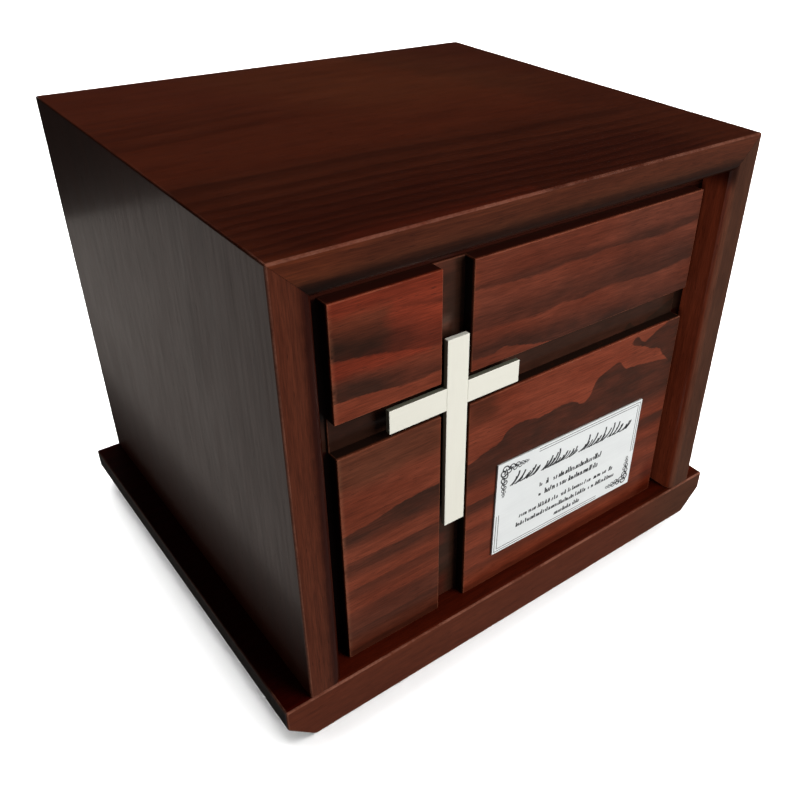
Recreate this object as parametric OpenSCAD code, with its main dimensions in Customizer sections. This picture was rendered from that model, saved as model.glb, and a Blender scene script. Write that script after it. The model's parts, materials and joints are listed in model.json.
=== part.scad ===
// Cremation urn box in stained wood: a mitred case on a base board, a front panel raised in
// four fields, a metal cross set in the channels between them, and an engraved name plate.
// Millimetres. +Z is up, the front faces -Y, and the origin is under the middle of the base.

/* [Case] */
// Width of the case across the front
case_w = 200; // [180:1:240]
// Depth of the case from front to back
case_d = 182; // [120:1:220]
// Height of the case above the base board
case_h = 162; // [155:1:200]
// Thickness of the case boards
board_t = 13; // [10:0.5:14]
// Radius of the rounded edge round the front opening
edge_r = 3.6; // [1:0.2:5]
// Thickness of the back board
back_t = 12; // [8:0.5:15]
// How far the back board sits in from the back edges
back_inset = 2; // [0:0.5:5]

/* [Base board] */
// Thickness of the base board
base_t = 19; // [16:0.5:25]
// How far the base board reaches past the case at each end
base_reach = 10; // [4:0.5:20]
// How far the base board reaches past the case at front and back
base_lip = 0.5; // [0:0.1:4]
// Height of the upright band along each end
base_band = 9; // [5:0.5:10]
// Width of the bevel under each end
base_bevel = 10; // [6:0.5:14]
// Radius that eases the two corners of the bevel
base_ease = 3; // [1:0.5:4]

/* [Front panel] */
// How far the raised fields sit behind the front edges
panel_setback = 6.7; // [4:0.1:10]
// Whole thickness of the front panel
panel_t = 14; // [11:0.5:18]
// Width of the sunk margin at the left and right
margin_side = 6.7; // [3:0.1:9]
// Height of the sunk margin along the top
margin_top = 6.5; // [3:0.1:9]
// How far the margin is sunk below the raised fields
margin_sink = 5.7; // [2:0.1:8]
// Width of the upright channel
channel_w = 12; // [9:0.1:15]
// Height of the level channel
channel_h = 12.6; // [9:0.1:15]
// Depth of both channels
channel_depth = 4.8; // [3:0.1:8]

/* [Cross] */
// Sideways place of the cross from the middle of the case
cross_x = -34.6; // [-45:0.1:0]
// Height of the middle of the arm above the base board
cross_z = 96; // [90:0.5:105]
// Length of the upright bar
upright_len = 76.4; // [60:0.1:80]
// How far the upright stands above the middle of the arm
upright_rise = 22; // [15:0.5:30]
// Length of the arm
arm_len = 53.6; // [40:0.1:60]
// Width of both bars
bar_w = 8.7; // [5:0.1:9]
// Thickness of both bars
bar_t = 2; // [1:0.1:2.6]
// How far the cross stands proud of the raised fields
cross_proud = 0.7; // [0:0.1:1]
// Diameter of the studs that hold the bars off the channel floor
stud_d = 5; // [2:0.5:5]

/* [Name plate] */
// Width of the name plate
plate_w = 78.4; // [60:0.1:84]
// Height of the name plate
plate_h = 43.8; // [30:0.1:46]
// Thickness of the name plate
plate_t = 0.8; // [0.5:0.1:1.5]
// Sideways place of its middle from the middle of the case
plate_x = 24.3; // [18:0.1:26]
// Height of its middle above the base board
plate_z = 34.9; // [30:0.1:45]
// How far the plate is turned, in degrees, its right end down
plate_turn = 0.9; // [0:0.1:2]
// Distance of the engraved border from the edge of the plate
border_inset = 1.9; // [1:0.1:3]
// Width of the engraved border line
border_w = 0.5; // [0.3:0.1:0.8]
// Depth of the engraved border line
border_depth = 0.2; // [0.1:0.05:0.3]

/* [Hidden] */
$fn = 64;
eps = 0.5;

case_wood = "#4b1f17";
panel_wood = "#713226";
cross_metal = "#e4e5dc";
plate_metal = "#dfe3e4";

half_w = case_w / 2;
front_y = -case_d / 2;
case_top = base_t + case_h;
opening_half = half_w - board_t;
opening_h = case_h - board_t;

field_y = front_y + panel_setback;
field_half = opening_half - margin_side;
field_h = opening_h - margin_top;
channel_floor = field_y + channel_depth;

cross_face = field_y - cross_proud;
cross_back = cross_face + bar_t;
stud_len = channel_floor - cross_back;
upright_stud = upright_len / 2 - bar_w;
arm_stud = arm_len / 2 - bar_w;
upright_mid = cross_z + upright_rise - upright_len / 2;

// Carries an outline drawn in X and Z through the depth from y0 to y1.
module along_y(y0, y1) {
    translate([0, y1, 0])
        rotate([90, 0, 0])
            linear_extrude(height = y1 - y0)
                children();
}

// A box centred on x and z, from y0 towards the back.
module slab(x, z, w, h, y0, t) {
    translate([x - w / 2, y0, z - h / 2])
        cube([w, t, h]);
}

// The waste beside a quarter round: take it away to round an edge that runs along Z, where
// the corner is at the origin and the board lies towards -X and +Y.
module edge_waste(length) {
    difference() {
        translate([-edge_r, -eps, 0])
            cube([edge_r + eps, edge_r + eps, length]);
        translate([-edge_r, edge_r, -eps])
            cylinder(r = edge_r, h = length + 2 * eps);
    }
}

// Points along an arc about a centre, from one angle to another.
function arc(centre, radius, from, to, steps = 8) =
    [for (i = [0:steps])
        let (angle = from + (to - from) * i / steps)
            centre + radius * [cos(angle), sin(angle)]];

// The right end of the base, from the top down: an upright band, then an eased bevel.
function base_end() =
    let (
        reach = half_w + base_reach,
        drop = base_t - base_band,
        slope = atan(base_bevel / drop),
        upper = [reach - base_ease, drop + base_ease * tan(slope / 2)],
        lower = [reach - base_bevel - base_ease * tan((90 - slope) / 2), base_ease]
    )
    concat([[reach, base_t]],
           arc(upper, base_ease, 0, -slope),
           arc(lower, base_ease, -slope, -90));

module base_board() {
    end = base_end();
    other_end = [for (i = [len(end) - 1:-1:0]) [-end[i][0], end[i][1]]];
    color(case_wood)
        along_y(front_y - base_lip, case_d / 2 + base_lip)
            polygon(concat(end, other_end));
}

// The right side board, mitred at its top end.
module side_blank() {
    difference() {
        along_y(front_y, case_d / 2)
            polygon([
                [opening_half, base_t],
                [half_w, base_t],
                [half_w, case_top],
                [opening_half, case_top - board_t]
            ]);
        translate([opening_half, front_y, base_t - eps])
            mirror([1, 0, 0])
                edge_waste(case_h + 2 * eps);
    }
}

module right_side() {
    color(case_wood) side_blank();
}

module left_side() {
    color(case_wood) mirror([1, 0, 0]) side_blank();
}

module top_board() {
    color(case_wood)
        difference() {
            along_y(front_y, case_d / 2)
                polygon([
                    [-half_w, case_top],
                    [half_w, case_top],
                    [opening_half, case_top - board_t],
                    [-opening_half, case_top - board_t]
                ]);
            translate([-half_w - eps, front_y, case_top - board_t])
                rotate([0, 90, 0])
                    edge_waste(case_w + 2 * eps);
        }
}

module back_board() {
    color(case_wood)
        slab(0, base_t + opening_h / 2, 2 * opening_half, opening_h,
             case_d / 2 - back_inset - back_t, back_t);
}

module front_panel() {
    color(panel_wood)
        difference() {
            union() {
                slab(0, base_t + opening_h / 2, 2 * opening_half, opening_h,
                     field_y + margin_sink, panel_t - margin_sink);
                slab(0, base_t + field_h / 2, 2 * field_half, field_h,
                     field_y, panel_t);
            }
            slab(cross_x, base_t + opening_h / 2, channel_w, opening_h + 2 * eps,
                 field_y - eps, channel_depth + eps);
            slab(0, base_t + cross_z, 2 * opening_half + 2 * eps, channel_h,
                 field_y - eps, channel_depth + eps);
        }
}

// A stud from the back of a bar to the channel floor.
module stud(x, z) {
    translate([x, channel_floor, z])
        rotate([90, 0, 0])
            cylinder(d = stud_d, h = stud_len + bar_t / 4);
}

// The upright runs through in front and is halved behind, where it crosses the arm.
module cross_upright() {
    color(cross_metal) {
        difference() {
            slab(cross_x, base_t + upright_mid, bar_w, upright_len, cross_face, bar_t);
            slab(cross_x, base_t + cross_z, bar_w + 2 * eps, bar_w,
                 cross_face + bar_t / 2, bar_t);
        }
        for (side = [-1, 1])
            stud(cross_x, base_t + upright_mid + side * upright_stud);
    }
}

module cross_arm() {
    color(cross_metal) {
        difference() {
            slab(cross_x, base_t + cross_z, arm_len, bar_w, cross_face, bar_t);
            slab(cross_x, base_t + cross_z, bar_w, bar_w + 2 * eps,
                 cross_face - bar_t / 2, bar_t);
        }
        for (side = [-1, 1])
            stud(cross_x + side * arm_stud, base_t + cross_z);
    }
}

// A thin engraved frame line, set in from the edge of the plate.
module border_line(inset) {
    w = plate_w - 2 * inset;
    h = plate_h - 2 * inset;
    difference() {
        slab(0, 0, w, h, -eps, eps + border_depth);
        slab(0, 0, w - 2 * border_w, h - 2 * border_w, -2 * eps, 4 * eps);
    }
}

module name_plate() {
    color(plate_metal)
        translate([plate_x, field_y - plate_t, base_t + plate_z])
            rotate([0, plate_turn, 0])
                difference() {
                    slab(0, 0, plate_w, plate_h, 0, plate_t);
                    border_line(border_inset);
                }
}

base_board();
left_side();
right_side();
top_board();
back_board();
front_panel();
cross_upright();
cross_arm();
name_plate();
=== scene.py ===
"""Finishes and fine geometry of a wooden cremation urn box, built round its packed construction model.

The case boards, the base and the panelled front are stained, varnished softwood. A satin metal cross lies
in the channels of the front, and a thin engraved plate is fixed to one of its fields. Lengths are metres
unless a name ends in _mm or a class says so, +Z is up, and the front of the box faces -Y.
"""

from __future__ import annotations

import json
import logging
import math
from dataclasses import dataclass
from enum import Enum
from typing import Callable, Iterable, Sequence, Union

import bmesh
import bpy
from mathutils import Matrix, Vector

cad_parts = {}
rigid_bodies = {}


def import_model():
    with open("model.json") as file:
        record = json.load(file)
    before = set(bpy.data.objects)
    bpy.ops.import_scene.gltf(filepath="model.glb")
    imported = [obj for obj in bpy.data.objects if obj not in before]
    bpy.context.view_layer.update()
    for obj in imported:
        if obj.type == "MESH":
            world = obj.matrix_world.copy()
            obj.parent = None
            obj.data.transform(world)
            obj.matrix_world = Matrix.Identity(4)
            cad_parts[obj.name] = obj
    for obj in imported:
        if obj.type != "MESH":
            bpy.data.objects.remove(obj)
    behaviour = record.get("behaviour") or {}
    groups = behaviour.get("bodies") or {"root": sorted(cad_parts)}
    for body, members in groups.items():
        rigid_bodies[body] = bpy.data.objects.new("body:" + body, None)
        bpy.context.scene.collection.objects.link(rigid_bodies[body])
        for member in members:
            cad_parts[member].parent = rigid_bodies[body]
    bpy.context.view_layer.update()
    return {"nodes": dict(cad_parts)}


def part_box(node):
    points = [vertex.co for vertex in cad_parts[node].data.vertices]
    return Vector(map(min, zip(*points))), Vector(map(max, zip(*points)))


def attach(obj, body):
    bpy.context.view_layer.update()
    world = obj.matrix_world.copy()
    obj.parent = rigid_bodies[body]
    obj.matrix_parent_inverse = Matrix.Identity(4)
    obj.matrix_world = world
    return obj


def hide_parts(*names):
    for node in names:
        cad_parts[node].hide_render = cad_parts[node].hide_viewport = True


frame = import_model()

LOG = logging.getLogger("urn_box")
MM = 0.001
ROOT = "root"
ARRIS = "arris"
FLOAT = "NodeSocketFloat"

# Parts of a vector, and corners of a CAD node's box.
X, Y, Z = 0, 1, 2
LOW, HIGH = 0, 1

# Points closer than this many metres are one, and an edge that turns further than this is a corner.
NEAR = 1e-6
CORNER_DEGREES = 50.0

Colour = tuple[float, float, float]
Number = Union[float, int, "Wire"]
Curve = tuple[tuple[float, float], ...]


def face_mm(node: str, corner: int, axis: int) -> float:
    """Reads where one face of a CAD node's box lies.

    Args:
        node: the node's name.
        corner: LOW or HIGH.
        axis: X, Y or Z.

    Returns:
        The place along the axis, in millimetres.
    """
    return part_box(node)[corner][axis] / MM


# Where the main faces lie: the case's front and top, the raised fields' front, the top of the opening, the
# middle of the level channel and the front of the cross.
CASE_FRONT_MM = face_mm("top_board", LOW, Y)
CASE_TOP_MM = face_mm("top_board", HIGH, Z)
FIELD_FRONT_MM = face_mm("front_panel", LOW, Y)
OPENING_TOP_MM = face_mm("front_panel", HIGH, Z)
ARM_MIDDLE_MM = (face_mm("cross_arm", LOW, Z) + face_mm("cross_arm", HIGH, Z)) / 2
CROSS_FRONT_MM = face_mm("cross_upright", LOW, Y)


# ---------------------------------------------------------------------------------------------
# Node trees in short steps
# ---------------------------------------------------------------------------------------------


class Wire:
    """One value inside a shader tree. Arithmetic on it adds Math nodes."""

    def __init__(self, graph: Graph, socket: bpy.types.NodeSocket) -> None:
        """Keeps the tree and the socket that the value comes from."""
        self.graph = graph
        self.socket = socket

    def __add__(self, other: Number) -> Wire:
        """Sum."""
        return self.graph.math("ADD", self, other)

    def __sub__(self, other: Number) -> Wire:
        """Difference."""
        return self.graph.math("SUBTRACT", self, other)

    def __rsub__(self, other: Number) -> Wire:
        """Difference from a plain number."""
        return self.graph.math("SUBTRACT", other, self)

    def __mul__(self, other: Number) -> Wire:
        """Product."""
        return self.graph.math("MULTIPLY", self, other)

    def __truediv__(self, other: Number) -> Wire:
        """Quotient."""
        return self.graph.math("DIVIDE", self, other)

    def __pow__(self, other: Number) -> Wire:
        """Power."""
        return self.graph.math("POWER", self, other)


class Graph:
    """Adds nodes to one shader tree and joins them."""

    def __init__(self, tree: bpy.types.ShaderNodeTree) -> None:
        """Keeps the tree."""
        self.tree = tree

    def add(self, kind: str, **settings: object) -> bpy.types.Node:
        """Adds a node.

        Args:
            kind: the node's type name.
            settings: properties of the node to set.

        Returns:
            The new node.
        """
        node = self.tree.nodes.new(kind)
        for name, value in settings.items():
            setattr(node, name, value)
        return node

    def feed(self, socket: bpy.types.NodeSocket, value: object) -> None:
        """Links a wire to a socket, or sets the socket's own value.

        Args:
            socket: the input to fill.
            value: a wire, a number, a colour or a vector.
        """
        if isinstance(value, Wire):
            self.tree.links.new(value.socket, socket)
        elif isinstance(value, tuple) and socket.type == "RGBA":
            socket.default_value = (*value, 1.0)
        else:
            socket.default_value = value

    def math(self, operation: str, *values: Number, clamp: bool = False) -> Wire:
        """Adds a Math node.

        Args:
            operation: what the node does.
            values: the numbers that it works on.
            clamp: holds the result between 0 and 1 when true.

        Returns:
            The result.
        """
        node = self.add("ShaderNodeMath", operation=operation, use_clamp=clamp)
        for socket, value in zip(node.inputs, values):
            self.feed(socket, value)
        return Wire(self, node.outputs[0])

    def split(self, vector: Wire) -> tuple[Wire, ...]:
        """Returns a vector's three parts."""
        node = self.add("ShaderNodeSeparateXYZ")
        self.feed(node.inputs[0], vector)
        return tuple(Wire(self, output) for output in node.outputs)

    def join(self, *parts: Number) -> Wire:
        """Returns a vector made of three parts."""
        node = self.add("ShaderNodeCombineXYZ")
        for socket, part in zip(node.inputs, parts):
            self.feed(socket, part)
        return Wire(self, node.outputs[0])

    def scaled(self, parts: Sequence[Number], scales: Sequence[Number]) -> Wire:
        """Returns a vector of three parts, each times a scale of its own."""
        return self.join(*(part * scale for part, scale in zip(parts, scales)))

    def shifted(self, vector: Wire, shift: tuple[float, float, float]) -> Wire:
        """Moves a vector by a fixed amount.

        Args:
            vector: the vector.
            shift: how far it moves.

        Returns:
            The moved vector.
        """
        node = self.add("ShaderNodeVectorMath", operation="ADD")
        self.feed(node.inputs[0], vector)
        self.feed(node.inputs[1], shift)
        return Wire(self, node.outputs[0])

    def millimetres(self) -> Wire:
        """Returns the place on the piece in millimetres, in the box's own frame."""
        where = self.add("ShaderNodeTexCoord")
        scaled = self.add("ShaderNodeVectorMath", operation="SCALE")
        self.tree.links.new(where.outputs["Object"], scaled.inputs[0])
        scaled.inputs["Scale"].default_value = 1 / MM
        return Wire(self, scaled.outputs[0])

    def attribute(self, name: str) -> Wire:
        """Returns a number stored on the mesh."""
        node = self.add("ShaderNodeAttribute", attribute_name=name)
        return Wire(self, node.outputs["Fac"])

    def noise(self, vector: Wire, scale: float, detail: float, roughness: float) -> Wire:
        """Adds smooth noise.

        Args:
            vector: where it is read.
            scale: how many features fit in one unit of the vector.
            detail: how many finer layers are added.
            roughness: how strong the finer layers are.

        Returns:
            The noise, from 0 to 1 with its middle at 0.5.
        """
        node = self.add("ShaderNodeTexNoise", noise_dimensions="3D")
        self.fill(node, Vector=vector, Scale=scale, Detail=detail, Roughness=roughness)
        return Wire(self, node.outputs["Fac"])

    def stretched(self, parts: Sequence[Number], scales: Sequence[Number], detail: float,
                  roughness: float) -> Wire:
        """Adds noise that is stretched by a scale of its own along each direction.

        Args:
            parts: the three parts of the place where it is read.
            scales: how many features fit in one unit of each part.
            detail: how many finer layers are added.
            roughness: how strong the finer layers are.

        Returns:
            The noise, from 0 to 1 with its middle at 0.5.
        """
        return self.noise(self.scaled(parts, scales), 1.0, detail, roughness)

    def cells(self, vector: Wire) -> tuple[Wire, Wire]:
        """Scatters points, about one in each unit of a vector.

        Args:
            vector: where the points are looked for.

        Returns:
            The distance to the nearest point, and that point's own number.
        """
        node = self.add("ShaderNodeTexVoronoi", voronoi_dimensions="3D")
        self.fill(node, Vector=vector, Scale=1.0)
        parts = self.add("ShaderNodeSeparateColor")
        self.tree.links.new(node.outputs["Color"], parts.inputs[0])
        return Wire(self, node.outputs["Distance"]), Wire(self, parts.outputs[0])

    def fit(self, value: Number, low: Number, high: Number, to_low: Number = 0.0, to_high: Number = 1.0,
            smooth: bool = True) -> Wire:
        """Maps low..high to to_low..to_high, held at both ends.

        Args:
            value: the number to map.
            low: the value that gives to_low.
            high: the value that gives to_high.
            to_low: the result at and below low.
            to_high: the result at and above high.
            smooth: eases both ends when true.

        Returns:
            The mapped number.
        """
        kind = "SMOOTHSTEP" if smooth else "LINEAR"
        node = self.add("ShaderNodeMapRange", interpolation_type=kind, clamp=True)
        self.fill(node, Value=value, From_Min=low, From_Max=high, To_Min=to_low, To_Max=to_high)
        return Wire(self, node.outputs["Result"])

    def window(self, value: Wire, low: float, high: float, soft: float) -> Wire:
        """Marks what lies between two places.

        Args:
            value: the place.
            low: the first place.
            high: the second place.
            soft: how far each end takes to turn, half of it on each side.

        Returns:
            1 between the places and 0 outside them.
        """
        half = soft / 2
        return self.fit(value, low - half, low + half) * self.fit(value, high - half, high + half, 1.0, 0.0)

    def profile(self, value: Wire, points: Curve, reach: tuple[float, float]) -> Wire:
        """Follows a smooth curve through a few points.

        Args:
            value: the place along the curve.
            points: (place, height) pairs, in order.
            reach: the lowest and highest height that the curve may have.

        Returns:
            The height of the curve.
        """
        node = self.add("ShaderNodeFloatCurve")
        curve = node.mapping.curves[0]
        start, end = points[0][0], points[-1][0]
        lowest, rise = reach[0], reach[1] - reach[0]
        scaled = [((place - start) / (end - start), (height - lowest) / rise) for place, height in points]
        for extra in scaled[2:]:
            curve.points.new(*extra)
        for point, place in zip(curve.points, sorted(scaled)):
            point.location = place
            point.handle_type = "AUTO"
        node.mapping.update()
        self.fill(node, Value=self.fit(value, start, end, smooth=False))
        return Wire(self, node.outputs[0]) * rise + lowest

    def blend(self, factor: Number, first: object, second: object, mode: str = "MIX") -> Wire:
        """Mixes two colours.

        Args:
            factor: the share of the second colour.
            first: the colour below.
            second: the colour on top.
            mode: how they are mixed.

        Returns:
            The mixed colour.
        """
        node = self.add("ShaderNodeMix", data_type="RGBA", blend_type=mode)
        self.feed(node.inputs[0], factor)
        self.feed(node.inputs[6], first)
        self.feed(node.inputs[7], second)
        return Wire(self, node.outputs[2])

    def toned(self, mask: Number, colour: Wire, factor: Colour) -> Wire:
        """Returns a colour that is multiplied by another where the mask is 1."""
        return self.blend(mask, colour, self.blend(1.0, colour, factor, "MULTIPLY"))

    def blend_number(self, factor: Wire, first: Number, second: Number) -> Wire:
        """Mixes two numbers."""
        return self.math("ADD", (1.0 - factor) * first, factor * second)

    def bump(self, height: Wire, distance_mm: float, strength: float) -> Wire:
        """Bends the surface's normal by a height.

        Args:
            height: the height, as a share of the distance.
            distance_mm: the full height.
            strength: how much of it is used.

        Returns:
            The bent normal.
        """
        node = self.add("ShaderNodeBump")
        self.fill(node, Height=height, Distance=distance_mm * MM, Strength=strength)
        return Wire(self, node.outputs["Normal"])

    def fill(self, node: bpy.types.Node, **values: object) -> None:
        """Fills a node's inputs, each by its name with _ for a space."""
        for name, value in values.items():
            self.feed(node.inputs[name.replace("_", " ")], value)

    def place_group(self, group: bpy.types.ShaderNodeTree, **values: object) -> dict[str, Wire]:
        """Adds a node group with its own values.

        Args:
            group: the group's tree.
            values: inputs by name, with _ for a space.

        Returns:
            The group's outputs by name.
        """
        node = self.add("ShaderNodeGroup", node_tree=group)
        self.fill(node, **values)
        return {output.name: Wire(self, output) for output in node.outputs}


class EffectGroup:
    """A shader node group that several finishes share."""

    def __init__(self, name: str, inputs: dict[str, float | None], outputs: dict[str, str]) -> None:
        """Makes the group's sockets.

        Args:
            name: the group's name.
            inputs: each number input with its default; None makes a vector input.
            outputs: each output with its socket type.
        """
        self.tree = bpy.data.node_groups.new(name, "ShaderNodeTree")
        for label, default in inputs.items():
            kind = "NodeSocketVector" if default is None else "NodeSocketFloat"
            socket = self.tree.interface.new_socket(label, in_out="INPUT", socket_type=kind)
            if default is not None:
                socket.default_value = default
        for label, kind in outputs.items():
            self.tree.interface.new_socket(label, in_out="OUTPUT", socket_type=kind)
        self.graph = Graph(self.tree)
        self._source = self.graph.add("NodeGroupInput")
        self._sink = self.graph.add("NodeGroupOutput")

    def read(self, label: str) -> Wire:
        """Returns one of the group's inputs."""
        return Wire(self.graph, self._source.outputs[label])

    def put(self, label: str, value: Wire) -> None:
        """Sets one of the group's outputs."""
        self.graph.feed(self._sink.inputs[label], value)


# ---------------------------------------------------------------------------------------------
# Shared effects
# ---------------------------------------------------------------------------------------------


def build_growth_rings() -> bpy.types.ShaderNodeTree:
    """Builds the growth rings of a plain sawn board.

    The rings are long cylinders about a heart line that runs beside the board. Dark latewood ends sharply
    on its outer side and fades on its inner side.

    Returns:
        The group, whose Late output is 0 in earlywood and 1 in the darkest latewood.
    """
    group = EffectGroup(
        "growth_rings",
        {"Grain": None, "Heart Across": 0.0, "Heart Depth": 60.0, "Spacing": 5.0, "Wander": 1.0},
        {"Late": FLOAT},
    )
    g = group.graph
    grain = along, across, depth = g.split(group.read("Grain"))
    slow = g.stretched(grain, (0.012, 0.03, 0.03), 2.0, 0.55) - 0.5
    quick = g.stretched(grain, (0.03, 0.16, 0.16), 3.0, 0.6) - 0.5
    wander = group.read("Wander")
    side = across - group.read("Heart Across") + slow * wander * 16.0
    deep = depth - group.read("Heart Depth")
    radius = g.math("SQRT", side * side + deep * deep) + quick * wander * 2.4
    count = radius / group.read("Spacing")
    ring = g.math("FRACT", count)
    number = g.math("FLOOR", count)
    strength = g.stretched((number, along, 0.0), (7.31, 0.004, 0.0), 0.0, 0.5) * 1.3 - 0.05
    late = g.math("MINIMUM", g.fit(ring, 0.15, 0.86), g.fit(ring, 0.93, 1.0, 1.0, 0.0))
    group.put("Late", g.math("MULTIPLY", late, strength, clamp=True))
    return group.tree


def build_fibres() -> bpy.types.ShaderNodeTree:
    """Builds the fine streaks, pores and blotches of stained softwood.

    Returns:
        The group. Streak, Fine and Blotch have their middle at 0.5, and Pore is 1 in a pore.
    """
    group = EffectGroup(
        "wood_fibres",
        {"Grain": None, "Pore Amount": 0.5},
        {"Streak": FLOAT, "Fine": FLOAT, "Blotch": FLOAT, "Pore": FLOAT},
    )
    g = group.graph
    grain = g.split(group.read("Grain"))
    group.put("Streak", g.stretched(grain, (0.035, 0.55, 0.55), 4.0, 0.62))
    group.put("Fine", g.stretched(grain, (0.16, 3.4, 3.4), 3.0, 0.6))
    group.put("Blotch", g.stretched(grain, (0.022, 0.05, 0.05), 3.0, 0.55))
    distance, number = g.cells(g.scaled(grain, (0.16, 1.5, 1.5)))
    chosen = g.fit(number, 1.0 - group.read("Pore Amount") * 0.3, 1.0, smooth=False)
    group.put("Pore", g.fit(distance, 0.1, 0.24, 1.0, 0.0) * g.math("SIGN", chosen))
    return group.tree


def build_wear_and_highlight() -> bpy.types.ShaderNodeTree:
    """Builds the uneven rubbing of the stain along arrises, which also stands for their painted highlight.

    Returns:
        The group, whose output is 1 where the stain has gone thin and the arris is painted light.
    """
    group = EffectGroup("arris_wear_and_highlight", {"Place": None, "Arris": 0.0, "Amount": 0.6}, {"WornAndHighlight": FLOAT})
    g = group.graph
    coarse = g.noise(group.read("Place"), 0.06, 3.0, 0.6)
    fine = g.noise(group.read("Place"), 0.9, 2.0, 0.6)
    uneven = g.fit(coarse * 0.7 + fine * 0.3, 0.3, 0.68)
    group.put("WornAndHighlight", g.math("MULTIPLY", group.read("Arris") * uneven, group.read("Amount"), clamp=True))
    return group.tree


def build_varnish() -> bpy.types.ShaderNodeTree:
    """Builds the brushed satin varnish: its gloss varies a little and its skin isn't quite flat.

    Returns:
        The group, with a Gloss change about 0 and a Skin height.
    """
    group = EffectGroup("satin_varnish", {"Grain": None}, {"Gloss": FLOAT, "Skin": FLOAT})
    g = group.graph
    grain = g.split(group.read("Grain"))
    group.put("Gloss", g.stretched(grain, (0.03, 0.09, 0.09), 3.0, 0.6) - 0.5)
    group.put("Skin", g.stretched(grain, (0.1, 0.5, 0.5), 2.0, 0.5))
    return group.tree


def build_brushing() -> bpy.types.ShaderNodeTree:
    """Builds fine brush lines for metal.

    Returns:
        The group. Line and Cloud have their middle at 0.5.
    """
    group = EffectGroup("metal_brushing", {"Grain": None, "Fineness": 6.0}, {"Line": FLOAT, "Cloud": FLOAT})
    g = group.graph
    grain = g.split(group.read("Grain"))
    fineness = group.read("Fineness")
    group.put("Line", g.stretched(grain, (0.08, fineness, fineness), 3.0, 0.65))
    group.put("Cloud", g.stretched(grain, (0.05, 0.12, 0.12), 3.0, 0.6))
    return group.tree


@dataclass(frozen=True)
class Effects:
    """The shared node groups, each built once."""

    rings: bpy.types.ShaderNodeTree
    fibres: bpy.types.ShaderNodeTree
    wear_and_highlight: bpy.types.ShaderNodeTree
    varnish: bpy.types.ShaderNodeTree
    brushing: bpy.types.ShaderNodeTree

    @classmethod
    def build(cls) -> Effects:
        """Builds every shared group."""
        return cls(build_growth_rings(), build_fibres(), build_wear_and_highlight(), build_varnish(), build_brushing())


# ---------------------------------------------------------------------------------------------
# Finishes
# ---------------------------------------------------------------------------------------------


class GrainAxis(Enum):
    """The direction that grain runs in: which of X, Y and Z give along, across and depth."""

    LEVEL = (X, Z, Y)
    UPRIGHT = (Z, Y, X)

    def lay(self, g: Graph, place: Wire) -> Wire:
        """Turns a place in the box's frame to (along, across, depth)."""
        parts = g.split(place)
        return g.join(*(parts[index] for index in self.value))


@dataclass(frozen=True)
class StainTones:
    """The colours of one stain on softwood, as linear values."""

    early: Colour
    late: Colour
    deep: Colour
    glow: Colour
    # The tone of rubbed arrises, which also stands in for their highlight: a painted highlight.
    worn_and_highlight: Colour


def new_material(name: str, kind: str = "ShaderNodeBsdfPrincipled",
                 ) -> tuple[bpy.types.Material, Graph, bpy.types.Node]:
    """Makes a material that has only a shader.

    Args:
        name: the material's name.
        kind: the shader's type name.

    Returns:
        The material, its tree and its shader node.
    """
    material = bpy.data.materials.new(name)
    material.use_nodes = True
    material.node_tree.nodes.clear()
    g = Graph(material.node_tree)
    shader = g.add(kind)
    output = g.add("ShaderNodeOutputMaterial")
    material.node_tree.links.new(shader.outputs[0], output.inputs[0])
    return material, g, shader


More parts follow.
